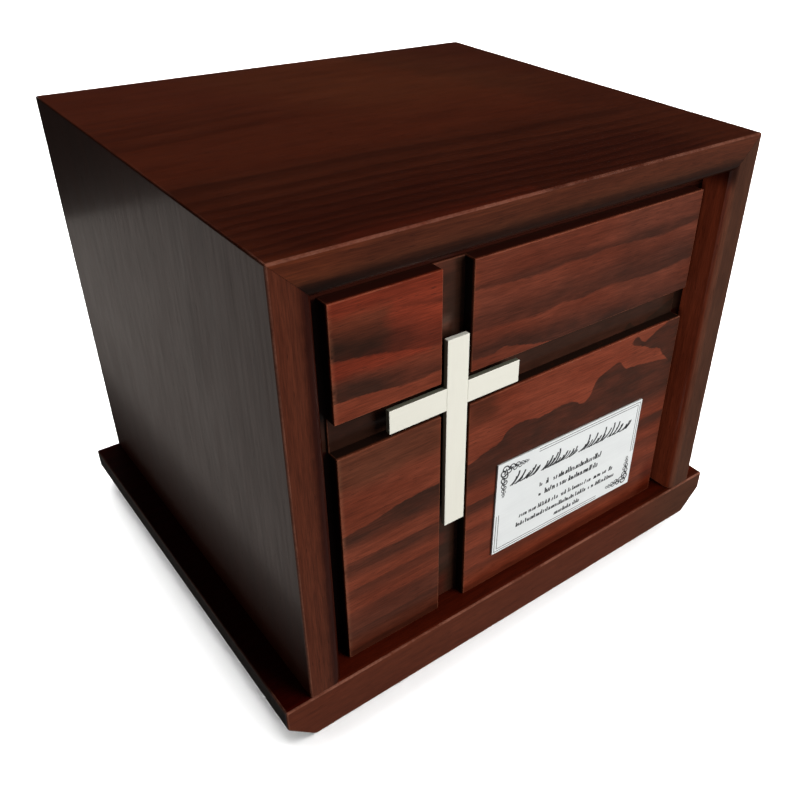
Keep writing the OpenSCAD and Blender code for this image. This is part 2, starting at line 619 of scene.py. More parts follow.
@dataclass(frozen=True)
class StainedWood:
    """What every stained and varnished finish has: its tones, fibres, rubbed and highlit arrises, and gloss.

    Streaks, blotches, pores and the rubbing of arrises are strengths from 0 to 1. Figure is how much the
    gloss follows the streaks. Shift moves the wood along, across and into its grain. Arrises lose stain and
    get a painted highlight fully up to the first place of their fade and little behind the second.
    """

    name: str
    tones: StainTones
    axis: GrainAxis
    streaks: float = 0.35
    blotches: float = 0.5
    pores: float = 0.5
    wear_and_highlight: float = 0.5
    roughness: float = 0.4
    coat: float = 0.3
    figure: float = 0.35
    shift: tuple[float, float, float] = (0.0, 0.0, 0.0)
    arris_fade_mm: tuple[float, float] = (FIELD_FRONT_MM + 2.3, FIELD_FRONT_MM + 8.3)

    def growth(self, g: Graph, effects: Effects, place: Wire, grain: Wire) -> Wire:
        """Draws the growth rings.

        Args:
            g: the material's tree.
            effects: the shared node groups.
            place: the place in the box's frame.
            grain: the same place as along, across and into the grain.

        Returns:
            How dark the rings are, from 0 to 1.
        """
        raise NotImplementedError

    def tint(self, g: Graph, place: Wire, colour: Wire) -> Wire:
        """Gives the wood what this board alone needs.

        Args:
            g: the material's tree.
            place: the place in the box's frame.
            colour: the colour so far.

        Returns:
            The changed colour.
        """
        raise NotImplementedError

    def build(self, effects: Effects) -> bpy.types.Material:
        """Builds the material.

        Args:
            effects: the shared node groups.

        Returns:
            The material.
        """
        material, g, shader = new_material(self.name)
        place = g.millimetres()
        grain = g.shifted(self.axis.lay(g, place), self.shift)
        late = self.growth(g, effects, place, grain)
        fibres = g.place_group(effects.fibres, Grain=grain, Pore_Amount=self.pores)
        streak = g.fit(fibres["Streak"], 0.3, 0.7, smooth=False)
        fine = g.fit(fibres["Fine"], 0.3, 0.7, smooth=False)
        blotch = g.fit(fibres["Blotch"], 0.32, 0.68)
        pore = fibres["Pore"]
        arris = g.attribute(ARRIS)
        worn_and_highlight = g.place_group(effects.wear_and_highlight, Place=place, Arris=arris, Amount=self.wear_and_highlight)["WornAndHighlight"]
        worn_and_highlight = worn_and_highlight * g.fit(g.split(place)[Y], *self.arris_fade_mm, 1.0, 0.25)

        tones = self.tones
        colour = g.blend(blotch * self.blotches, tones.early, tones.glow)
        colour = g.blend(g.math("MULTIPLY", late, 1.0, clamp=True), colour, tones.late)
        colour = g.blend((1.0 - streak) * self.streaks, colour, tones.deep)
        colour = g.blend(0.3, colour, g.join(fine, fine, fine), "OVERLAY")
        colour = self.tint(g, place, colour)
        colour = g.blend(pore * 0.7, colour, tones.deep)
        # Arrises: thinned stain and a painted highlight along them.
        colour = g.blend(worn_and_highlight, colour, tones.worn_and_highlight)

        varnish = g.place_group(effects.varnish, Grain=grain)
        height = varnish["Skin"] * 0.5 + fine * 0.12 - pore * 0.5 + late * 0.1
        gloss = (1.0 - arris * 0.7) * (streak * self.figure + blotch * 0.15 + (1.1 - self.figure))
        g.fill(shader, Base_Color=colour, Roughness=varnish["Gloss"] * 0.12 + self.roughness + pore * 0.15,
               Normal=g.bump(height, 0.1, 0.3), Coat_Weight=gloss * self.coat,
               Specular_IOR_Level=0.08, Coat_Roughness=0.16, Coat_IOR=1.45)
        return material


@dataclass(frozen=True)
class Shade:
    """A change of tone along one of the box's directions, in millimetres.

    The change is nothing at the start and full from the end on. A limit is another direction with a start
    and an end of its own, and the change is full only where both are. Most of them paint shade and light
    onto the case; a few change the stain.
    """

    axis: int
    start_mm: float
    end_mm: float
    factor: Colour
    front_only: bool = True
    limit: tuple[int, float, float] | None = None

    def lay(self, g: Graph, place: Wire, colour: Wire, ragged: Wire) -> Wire:
        """Lays the change of tone.

        Args:
            g: the material's tree.
            place: the place in the box's frame.
            colour: the colour so far.
            ragged: noise about 0 that makes the border uneven.

        Returns:
            The changed colour.
        """
        parts = g.split(place)
        mask = g.fit(parts[self.axis] + ragged * 1.2, self.start_mm, self.end_mm)
        if self.front_only:
            mask = mask * g.fit(parts[Y], CASE_FRONT_MM + 2.5, CASE_FRONT_MM + 4.0, 1.0, 0.0)
        if self.limit is not None:
            axis, start, end = self.limit
            mask = mask * g.fit(parts[axis], start, end)
        return g.toned(mask, colour, self.factor)


@dataclass(frozen=True)
class Patch:
    """A soft patch of a face whose tone changes, in millimetres: mostly stain that took differently, some
    painted light.
    """

    across: tuple[float, float]
    upward: tuple[float, float]
    soft: float
    factor: Colour


def lay_patches(g: Graph, patches: Sequence[Patch], across: Wire, upward: Wire, colour: Wire) -> Wire:
    """Lays soft patches over a colour, one after another.

    Args:
        g: the material's tree.
        patches: the patches.
        across: the place across the face.
        upward: the place up the face.
        colour: the colour so far.

    Returns:
        The changed colour.
    """
    for patch in patches:
        mask = g.window(across, *patch.across, patch.soft) * g.window(upward, *patch.upward, patch.soft)
        colour = g.toned(mask, colour, patch.factor)
    return colour


@dataclass(frozen=True)
class StraightBoard(StainedWood):
    """A board with plain straight growth rings, whose front face is lighter: partly paler stain, partly
    painted light.

    The heart is the line that the rings run round, as its places across the grain and into it.
    """

    heart: tuple[float, float] = (0.0, 60.0)
    spacing: float = 5.0
    wander: float = 0.5
    rings: float = 0.5
    # How much lighter the front face is: partly a paler stain, partly painted light.
    front_lift: Colour = (1.5, 1.7, 2.2)
    front_fade_mm: tuple[float, float] = (CASE_FRONT_MM + 0.4, CASE_FRONT_MM + 1.6)
    shades: tuple[Shade, ...] = ()

    def growth(self, g: Graph, effects: Effects, place: Wire, grain: Wire) -> Wire:
        """Returns the shared growth rings, at this board's strength."""
        rings = g.place_group(effects.rings, Grain=grain, Heart_Across=self.heart[0],
                              Heart_Depth=self.heart[1], Spacing=self.spacing, Wander=self.wander)
        return rings["Late"] * self.rings

    def tint(self, g: Graph, place: Wire, colour: Wire) -> Wire:
        """Lightens the front face, partly painted light, and lays this board's shades."""
        front = g.fit(g.split(place)[Y], *self.front_fade_mm, 1.0, 0.0)
        colour = g.toned(front, colour, self.front_lift)
        ragged = g.noise(place, 0.25, 3.0, 0.6) - 0.5
        for shade in self.shades:
            colour = shade.lay(g, place, colour, ragged)
        return colour


@dataclass(frozen=True)
class LinedTop(StraightBoard):
    """The top board: plain in the middle, with closer and closer growth lines towards the front and back.

    Each first line is where a set of lines begins, and the gaps get smaller from its first gap on.
    """

    front_line_mm: float = -30.5
    front_gap_mm: float = 13.0
    back_line_mm: float = 8.0
    back_gap_mm: float = 12.0
    edge_fade_mm: tuple[float, float] = (CASE_FRONT_MM + 0.6, CASE_FRONT_MM + 2.2)
    patches: tuple[Patch, ...] = (
        Patch((-120, 40), (-120, -58), 26.0, (0.74, 0.6, 0.58)),
        # Painted reflection: a broad grey sheen towards the back right.
        Patch((-12, 90), (5, 120), 46.0, (1.22, 1.5, 1.5)),
        Patch((-120, -20), (40, 120), 40.0, (1.12, 1.12, 1.2)),
        Patch((-110, -40), (-96.0, -85.0), 5.0, (1.45, 1.25, 1.15)),
        Patch((-120, 60), (-28, 120), 14.0, (1.22, 1.12, 1.0)),
    )

    def growth(self, g: Graph, effects: Effects, place: Wire, grain: Wire) -> Wire:
        """Returns the drawn growth lines over faint plain rings."""
        x, y, _ = g.split(place)
        sway = g.stretched((x, y, 0.0), (0.018, 0.05, 0.0), 2.0, 0.5) - 0.5
        quick = g.stretched((x, y, 0.0), (0.09, 0.7, 0.0), 3.0, 0.6) - 0.5
        wavy = y + sway * 5.0 + quick * 1.1
        front = self.front_line_mm - g.fit(x, -70.0, 50.0) * 6.5 - wavy
        back = wavy - self.back_line_mm - g.fit(x, -100.0, -20.0) * 7.0
        lines = self.fan(g, front, self.front_gap_mm, 1.45) * g.fit(x, 60.0, 96.0, 1.0, 0.45)
        lines = lines + (self.fan(g, back, self.back_gap_mm, 1.35) * g.fit(x, -52.0, -14.0, 0.7, 0.0)
                         * g.fit(wavy, 38.0, 52.0, 1.0, 0.0))
        faint = super().growth(g, effects, place, grain) * g.fit(y, *self.edge_fade_mm, 0.9, 0.35)
        return g.math("MAXIMUM", lines * g.fit(y, *self.edge_fade_mm), faint)

    @staticmethod
    def fan(g: Graph, distance: Wire, gap_mm: float, closing: float) -> Wire:
        """Draws a set of dark lines that come closer and closer together.

        Args:
            g: the material's tree.
            distance: how far a place is past the first line, in millimetres.
            gap_mm: the first gap.
            closing: how fast the gaps get smaller, where 1 is not at all.

        Returns:
            How dark the lines are: each starts sharply and soon fades.
        """
        part = g.math("FRACT", g.math("MAXIMUM", distance / gap_mm, 0.0) ** closing)
        return g.fit(part, 0.0, 0.06) * (1.0 - g.fit(part, 0.12, 0.85)) * 0.68 * g.fit(distance, 0.0, 0.5)

    def tint(self, g: Graph, place: Wire, colour: Wire) -> Wire:
        """Lays the soft patches on the upper face, then what every board gets."""
        x, y, z = g.split(place)
        rough = g.stretched((x, y, 0.0), (0.02, 0.05, 0.0), 4.0, 0.6) - 0.5
        patched = lay_patches(g, self.patches, x + y * 0.35 + rough * 30.0, y + rough * 6.0, colour)
        colour = g.blend(g.fit(z, CASE_TOP_MM - 1.0, CASE_TOP_MM - 0.4), colour, patched)
        return super().tint(g, place, colour)


@dataclass(frozen=True)
class FlatSawnPanel(StainedWood):
    """The front panel's wood, sawn flat: broad wavy bands lie on both sides of a pale heart zone.

    Lines are (x, z) points in millimetres in the box's frame. Away from the heart each band starts with a
    sharp dark line and fades. The tongue is a dark point that reaches in from the right.
    """

    lower_line: Curve = (
        (-87, 76.5), (-79, 77.2), (-70, 78.2), (-60, 80.2), (-50, 81.2), (-41, 81.2), (-28, 83.2),
        (-20, 85.6), (-13.5, 87.0), (-11, 90.0), (-8, 91.4), (-3, 91.7), (2, 90.6), (8, 90.0), (15, 90.9),
        (22, 90.6), (25, 88.8), (27.5, 87.2), (31, 88.6), (32.8, 92.0), (34.5, 95.0), (38, 97.0),
        (42, 98.2), (46, 99.2), (48, 97.6), (50, 95.0), (54, 94.0), (60, 93.6), (66, 92.2), (71, 91.5),
        (77, 90.0), (87, 87.0))
    upper_line: Curve = (
        (-87, 128.8), (-78, 128.6), (-70, 128.2), (-60, 127.0), (-50, 126.0), (-41, 126.8), (-28, 125.4),
        (-20, 125.0), (-15, 126.0), (-9, 124.8), (0, 122.4), (10, 120.8), (25, 118.0), (40, 116.0),
        (60, 114.5), (87, 114.0))
    second_line: Curve = (
        (-87, 142.8), (-78, 142.2), (-70, 141.0), (-60, 139.5), (-50, 137.2), (-41, 135.6), (-28, 135.5),
        (-10, 134.0), (2, 133.6), (12, 134.6), (20, 133.8), (32, 134.8), (45, 134.0), (58, 133.0),
        (70, 133.8), (87, 134.4))
    tongue_low: Curve = (
        (51, 105.2), (55, 103.0), (60, 101.0), (65, 98.6), (70, 96.6), (74, 92.0), (80, 86.0), (87, 80.0))
    tongue_high: Curve = (
        (51, 104.2), (53, 106.4), (55, 107.3), (57, 106.0), (60, 103.8), (62.5, 104.6), (66, 106.2),
        (70, 107.6), (75, 109.6), (87, 114.0))
    line_heights: tuple[float, float] = (60.0, 160.0)
    upper_strength: Curve = (
        (-87, 0.95), (-72, 1.0), (-58, 0.88), (-41, 0.66), (-28, 0.8), (0, 0.92), (25, 0.97), (55, 1.0),
        (87, 1.0))
    patches: tuple[Patch, ...] = (
        Patch((-84, -60), (144, 157), 6.0, (0.6, 0.9, 0.95)),
        Patch((-84, -52), (137, 151), 9.0, (0.88, 0.93, 0.95)),
        Patch((38, 100), (128, 170), 12.0, (0.78, 0.84, 0.87)),
        Patch((-90, -38), (136, 170), 3.0, (1.15, 0.8, 0.72)),
        Patch((-28, 90), (120, 170), 2.0, (0.86, 0.92, 1.0)),
        Patch((-90, -40), (95, 112), 7.0, (0.62, 0.78, 0.78)),
        Patch((-30, -17), (99, 112), 6.0, (0.6, 0.72, 0.72)),
        Patch((-90, 90), (10, 24), 5.0, (0.6, 0.5, 0.46)),
        Patch((72, 90), (10, 36), 8.0, (0.6, 0.4, 0.3)),
        Patch((-12, 52), (88, 110), 6.0, (1.1, 1.05, 1.05)),
        Patch((-33, -14), (40, 60), 6.0, (1.1, 1.1, 1.1)),
        Patch((-90, -38), (20, 108), 6.0, (0.93, 0.98, 1.0)),
        Patch((-90, -38), (10, 38), 9.0, (0.55, 0.66, 0.74)),
    )
    lower_start_mm: float = 81.0
    lower_gap_mm: float = 17.0
    upper_gap_mm: float = 15.0
    vein_mm: float = 64.0
    channel_depth_mm: float = 4.8
    ledge_mm: float = ARM_MIDDLE_MM - 6.3
    ceiling_mm: float = ARM_MIDDLE_MM + 6.3
    crown_mm: float = OPENING_TOP_MM - 6.5
    floor_patches: tuple[Patch, ...] = (
        # The first four are painted light: reflections of the cross on the channel floor above and below the
        # upright's ends, and a highlight at the top of the upright channel.
        Patch((-40.5, -34.0), (138.2, 142.6), 3.0, (2.3, 2.6, 2.9)),
        Patch((-41.0, -33.0), (157.0, 170.0), 3.0, (2.0, 1.6, 1.5)),
        Patch((-41.0, -36.0), (142.0, 151.0), 3.0, (1.5, 1.2, 1.15)),
        Patch((-41.0, -34.5), (46.0, 52.0), 4.0, (1.8, 1.25, 1.2)),
        Patch((-41.0, -33.5), (17.0, 30.0), 5.0, (1.5, 0.9, 0.85)),
        Patch((-90.0, -60.0), (106.0, 124.0), 6.0, (0.62, 0.56, 0.56)),
        Patch((0.0, 90.0), (106.0, 124.0), 6.0, (0.85, 0.85, 0.85)),
    )
    channel_early: Colour = (0.0185, 0.0105, 0.0068)
    wall_tone: Colour = (0.0035, 0.0016, 0.001)
    ledge_tone: Colour = (0.0095, 0.0042, 0.0027)
    # Painted shade: the top of the opening, under the top board, is dark red, and the sunk margin round the
    # fields near black.
    crown_shade_tone: Colour = (0.024, 0.0052, 0.003)
    sunk_shade_tone: Colour = (0.009, 0.0012, 0.0006)

    def growth(self, g: Graph, effects: Effects, place: Wire, grain: Wire) -> Wire:
        """Returns the darkness of the bands below and above the heart, the tongue and a thin vein."""
        x, y, z = g.split(place)
        layer = (y - FIELD_FRONT_MM) * 0.9
        ragged = g.stretched((x, layer, z), (0.3, 1.0, 0.7), 3.0, 0.6) - 0.5
        sway = g.stretched((x, layer, z), (0.07, 0.3, 0.14), 2.0, 0.5) - 0.5
        cloud = g.stretched((x, layer, z), (0.05, 1.0, 0.12), 3.0, 0.6)
        wavy_z = z + ragged * 1.5 + sway * 1.2 - layer
        wavy_x = x + ragged * 1.6
        below = self.lower_bands(g, wavy_x, wavy_z) * g.fit(z + sway * 8.0, 46.0, 66.0, 0.5, 0.95)
        calm = g.fit(x, -41.0, -28.0) * 0.25
        above = self.upper_bands(g, wavy_x, wavy_z, calm) * g.fit(z + sway * 5.0, 150.0, 155.0, 1.0, 0.2)
        vein = g.math("ABSOLUTE", wavy_z - self.vein_mm + g.fit(x, -80.0, -40.0) * 1.5)
        vein = g.fit(vein, 0.25, 0.8, 1.0, 0.0) * g.fit(x, -41.0, -36.0, 1.0, 0.0) * 0.6
        tongue = (self.past(g, wavy_z - g.profile(wavy_x, self.tongue_low, self.line_heights))
                  * self.past(g, g.profile(wavy_x, self.tongue_high, self.line_heights) - wavy_z)
                  * g.fit(wavy_x, 51.5, 53.5))
        dark = g.math("MAXIMUM", g.math("MAXIMUM", below, above), g.math("MAXIMUM", tongue, vein))
        return dark * g.fit(cloud, 0.3, 0.7, 0.78, 1.08)

    def lower_bands(self, g: Graph, x: Wire, z: Wire) -> Wire:
        """Draws the bands below the heart.

        Args:
            g: the material's tree.
            x: the place across, which already sways.
            z: the height, which already sways.

        Returns:
            The darkness of the bands.
        """
        edge = g.profile(x, self.lower_line, self.line_heights)
        count = g.math("MAXIMUM", (self.lower_start_mm - z) / self.lower_gap_mm, 0.0) ** 1.3
        return self.band(g, count, 0.76) * self.past(g, edge - z) * g.fit(count, 0.85, 1.1, 0.97, 0.9)

    def upper_bands(self, g: Graph, x: Wire, z: Wire, calm: Wire) -> Wire:
        """Draws the bands above the heart.

        Args:
            g: the material's tree.
            x: the place across, which already sways.
            z: the height, which already sways.
            calm: how much fainter the second band and those above it are.

        Returns:
            The darkness of the bands.
        """
        first = g.profile(x, self.upper_line, self.line_heights)
        second = g.profile(x, self.second_line, self.line_heights)
        count = (g.math("DIVIDE", z - first, second - first, clamp=True)
                 + g.math("MAXIMUM", z - second, 0.0) / self.upper_gap_mm)
        strength = g.profile(x, self.upper_strength, (0.0, 1.0)) * (1.0 - g.fit(count, 0.97, 1.03) * calm)
        return self.band(g, count, 0.98) * self.past(g, z - first) * strength

    @staticmethod
    def past(g: Graph, distance: Wire) -> Wire:
        """Returns 1 past a line and 0 before it, with a crisp edge."""
        return g.fit(distance, 0.0, 0.6)

    @staticmethod
    def band(g: Graph, count: Wire, reach: float) -> Wire:
        """Draws one dark band for each whole count, with a sharp start.

        Args:
            g: the material's tree.
            count: the number of bands so far and the share of the next one.
            reach: the share of a band over which it fades.

        Returns:
            The darkness of the bands.
        """
        part = g.math("FRACT", count)
        onset = g.blend_number(g.fit(count, 0.9, 1.0), 1.0, g.fit(part, 0.0, 0.07))
        return onset * (1.0 - g.fit(part, 0.24, reach)) * g.fit(count, 0.0, 7.0, 1.0, 0.8)

    def tint(self, g: Graph, place: Wire, colour: Wire) -> Wire:
        """Darkens the channels and walls, paints shade on the sunk margin, lightens the fields' left edges.
        """
        x, y, z = g.split(place)
        depth = y - FIELD_FRONT_MM
        speck = g.stretched((x, 0.0, z), (0.09, 0.0, 0.3), 4.0, 0.6)
        edge = g.fit(x + speck * 5.0, -77.6, -75.8, 1.0, 0.0) * g.fit(speck, 0.35, 0.65)
        colour = g.blend(edge * 0.55, colour, self.tones.worn_and_highlight)
        rough = g.stretched((x, 0.0, z), (0.05, 0.0, 0.16), 4.0, 0.62) - 0.5
        colour = lay_patches(g, self.patches, x + rough * 16.0, z + rough * 9.0, colour)

        floor_tone = g.blend(0.15, self.channel_early, colour)
        floor_tone = g.blend(g.fit(speck, 0.3, 0.7) * 0.3, floor_tone, self.wall_tone)
        floor_tone = lay_patches(g, self.floor_patches, x + rough * 5.0, z + rough * 4.0, floor_tone)
        on_ledge = (g.fit(z, self.ledge_mm - 1.7, self.ledge_mm - 0.3)
                    * g.fit(z, self.ledge_mm + 0.7, self.ledge_mm + 1.7, 1.0, 0.0))
        on_crown = g.fit(z, self.crown_mm - 0.6, self.crown_mm - 0.2)
        in_channel = (g.fit(z, self.ledge_mm, self.ledge_mm + 0.4)
                      * g.fit(z, self.ceiling_mm - 0.1, self.ceiling_mm + 0.3, 1.0, 0.0))
        wall = g.blend(on_ledge, self.wall_tone, self.ledge_tone)
        wall = g.blend(on_crown, wall, self.crown_shade_tone)
        sunk = g.blend(on_crown, self.sunk_shade_tone, self.crown_shade_tone)
        sunk = g.blend(in_channel, sunk, floor_tone)

        deepest = self.channel_depth_mm
        colour = g.blend(g.fit(depth, 0.3, 1.4), colour, wall)
        colour = g.blend(g.fit(depth, deepest - 0.25, deepest - 0.05), colour, floor_tone)
        return g.blend(g.fit(depth, deepest + 0.05, deepest + 0.4), colour, sunk)


@dataclass(frozen=True)
class SatinMetal:
    """Pale brushed metal, with painted shade on its sides.

    The sides start behind edge_from_mm and get painted shade. Above lit_above_mm they are hardly shaded.
    Behind hidden_from_mm the metal is painted near black: painted shade in the gap behind the bars.
    """

    name: str
    face: Colour
    shade: Colour
    axis: GrainAxis
    metallic: float = 0.2
    roughness: float = 0.38
    fineness: float = 6.0
    edge: Colour = (0.52, 0.52, 0.5)
    dark: Colour = (0.008, 0.006, 0.005)
    edge_from_mm: float = CROSS_FRONT_MM + 0.1
    lit_above_mm: float | None = None
    hidden_from_mm: float | None = None

    def build(self, effects: Effects) -> bpy.types.Material:
        """Builds the material.

        Args:
            effects: the shared node groups.

        Returns:
            The material.
        """
        material, g, shader = new_material(self.name)
        place = g.millimetres()
        _, y, z = g.split(place)
        brushing = g.place_group(effects.brushing, Grain=self.axis.lay(g, place), Fineness=self.fineness)
        line = g.fit(brushing["Line"], 0.3, 0.7, smooth=False)
        cloud = g.fit(brushing["Cloud"], 0.3, 0.7)
        colour = g.blend(line * 0.25 + cloud * 0.2, self.face, self.shade)
        side = g.fit(y, self.edge_from_mm, self.edge_from_mm + 0.12)
        if self.lit_above_mm is not None:
            side = side * g.fit(z, self.lit_above_mm, self.lit_above_mm + 0.3, 1.0, 0.12)
        # Painted shade on the sides.
        colour = g.toned(side, colour, self.edge)
        if self.hidden_from_mm is not None:
            # Painted shade: the back of the bars and what lies behind them are near black.
            colour = g.blend(g.fit(y, self.hidden_from_mm, self.hidden_from_mm + 0.1), colour, self.dark)
        g.fill(shader, Base_Color=colour, Roughness=line * 0.1 + cloud * 0.08 + self.roughness,
               Normal=g.bump(line, 0.01, 0.25), Metallic=self.metallic)
        return material


@dataclass(frozen=True)
class EngravedInk:
    """The dull dark filling of the plate's engraving."""

    name: str
    tone: Colour = (0.022, 0.023, 0.025)
    faded: Colour = (0.06, 0.06, 0.062)

    def build(self) -> bpy.types.Material:
        """Builds the material and returns it."""
        material, g, shader = new_material(self.name)
        speck = g.noise(g.millimetres(), 2.0, 3.0, 0.6)
        g.fill(shader, Base_Color=g.blend(g.fit(speck, 0.45, 0.75), self.tone, self.faded),
               Roughness=0.6, Specular_IOR_Level=0.3)
        return material


# ---------------------------------------------------------------------------------------------
# Meshes
# ---------------------------------------------------------------------------------------------


def mark_arrises(bm: bmesh.types.BMesh, faces: Iterable[bmesh.types.BMFace]) -> None:
    """Marks faces as a worked arris, so that the finish can rub the stain there and paint its highlight.

    Args:
        bm: the mesh.
        faces: the faces to mark.
    """
    layer = bm.faces.layers.float[ARRIS]
    for face in faces:
        face[layer] = 1.0


def blank_mesh() -> bmesh.types.BMesh:
    """Returns an empty mesh that can carry arris marks."""
    bm = bmesh.new()
    bm.faces.layers.float.new(ARRIS)
    return bm


def corners(bm: bmesh.types.BMesh, keep: Callable[[bmesh.types.BMEdge], bool] = lambda edge: True,
            ) -> list[bmesh.types.BMEdge]:
    """Finds the outward corners of a mesh.

    Args:
        bm: the mesh.
        keep: says which of them to take.

    Returns:
        The edges.
    """
    least = math.radians(CORNER_DEGREES)
    return [e for e in bm.edges
            if len(e.link_faces) == 2 and e.calc_face_angle_signed(0.0) > least and keep(e)]


def ease(bm: bmesh.types.BMesh, edges: Sequence[bmesh.types.BMEdge], radius_mm: float, segments: int,
         as_arris: bool = True) -> None:
    """Rounds edges.

    Args:
        bm: the mesh.
        edges: the edges to round.
        radius_mm: how far each edge is rounded.
        segments: how many faces go round it.
        as_arris: marks the new faces as arrises, where the stain is thinned and a highlight painted.
    """
    made = bmesh.ops.bevel(bm, geom=list(edges), offset=radius_mm * MM, offset_type="OFFSET",
                           segments=segments, profile=0.5, affect="EDGES", clamp_overlap=True,
                           miter_outer="SHARP", harden_normals=False)
    if as_arris:
        mark_arrises(bm, made["faces"])


def steady_normals(mesh: bpy.types.Mesh, widest_degrees: float = CORNER_DEGREES) -> None:
    """Shades broad faces flat and lets only the eased edges turn.

    Args:
        mesh: the mesh to shade.
        widest_degrees: the greatest angle between faces that are shaded as one.
    """
    around: list[list[int]] = [[] for _ in mesh.vertices]
    for polygon in mesh.polygons:
        for vertex in polygon.vertices:
            around[vertex].append(polygon.index)
    least = math.cos(math.radians(widest_degrees))
    faces = [(polygon.normal.copy(), polygon.area) for polygon in mesh.polygons]
    normals = []
    for polygon in mesh.polygons:
        own = faces[polygon.index][0]
        for loop in polygon.loop_indices:
            total = Vector()
            for index in around[mesh.loops[loop].vertex_index]:
                normal, area = faces[index]
                if normal.dot(own) > least:
                    total += normal * area
            normals.append(total.normalized() if total.length > 0 else own)
    mesh.normals_split_custom_set(normals)


def finish_piece(bm: bmesh.types.BMesh, name: str, nodes: Sequence[str],
                 materials: Sequence[bpy.types.Material]) -> bpy.types.Object:
    """Makes a shown piece of a mesh, in place of CAD nodes.

    Args:
        bm: the mesh, in the box's frame; it is freed.
        name: the piece's name.
        nodes: the CAD nodes that it stands for.
        materials: its materials.

    Returns:
        The piece.
    """
    bmesh.ops.recalc_face_normals(bm, faces=bm.faces)
    mesh = bpy.data.meshes.new(name)
    bm.to_mesh(mesh)
    bm.free()
    for material in materials:
        mesh.materials.append(material)
    for polygon in mesh.polygons:
        polygon.use_smooth = True
    piece = bpy.data.objects.new(name, mesh)
    bpy.context.scene.collection.objects.link(piece)
    steady_normals(mesh)
    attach(piece, ROOT)
    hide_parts(*nodes)
    LOG.info("%s: %d faces, for %s", name, len(mesh.polygons), ", ".join(nodes))
    return piece


def extrude_outline(bm: bmesh.types.BMesh, outline: Sequence[tuple[float, float]], near: float,
                    far: float) -> None:
    """Carries an outline through a depth.

    Args:
        bm: the mesh that it is added to.
        outline: its (x, z) points in order.
        near: the y where it starts.
        far: the y where it ends.
    """
    front = [bm.verts.new((x, near, z)) for x, z in outline]
    back = [bm.verts.new((x, far, z)) for x, z in outline]
    bm.faces.new(front)
    bm.faces.new(reversed(back))
    count = len(outline)
    for i in range(count):
        j = (i + 1) % count
        bm.faces.new((front[j], front[i], back[i], back[j]))


@dataclass
class Board:
    """The box that a CAD node fills, with its corners in metres."""

    low: Vector
    high: Vector

    @classmethod
    def of(cls, node: str) -> Board:
        """Reads a node's box from the frame."""
        return cls(*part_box(node))


def node_copy(node: str) -> bmesh.types.BMesh:
    """Copies a CAD node's mesh and joins its loose triangles into whole faces.

    Args:
        node: the CAD node.

    Returns:
        The copy.
    """
    bm = blank_mesh()
    bm.from_mesh(frame["nodes"][node].data)
    bmesh.ops.remove_doubles(bm, verts=bm.verts, dist=NEAR)
    bmesh.ops.dissolve_limit(bm, angle_limit=math.radians(0.5), verts=bm.verts, edges=bm.edges)
    return bm


def eased_copy(node: str, name: str, arris_mm: float, segments: int,
               material: bpy.types.Material) -> bpy.types.Object:
    """Takes a piece over from its CAD node with its corners eased.

    Args:
        node: the CAD node.
        name: the piece's name.
        arris_mm: how far the corners are rounded.
        segments: how many faces go round a corner.
        material: the piece's material.

    Returns:
        The piece.
    """
    bm = node_copy(node)
    ease(bm, corners(bm), arris_mm, segments)
    return finish_piece(bm, name, [node], [material])


# ---------------------------------------------------------------------------------------------
# Sub-assemblies
# ---------------------------------------------------------------------------------------------


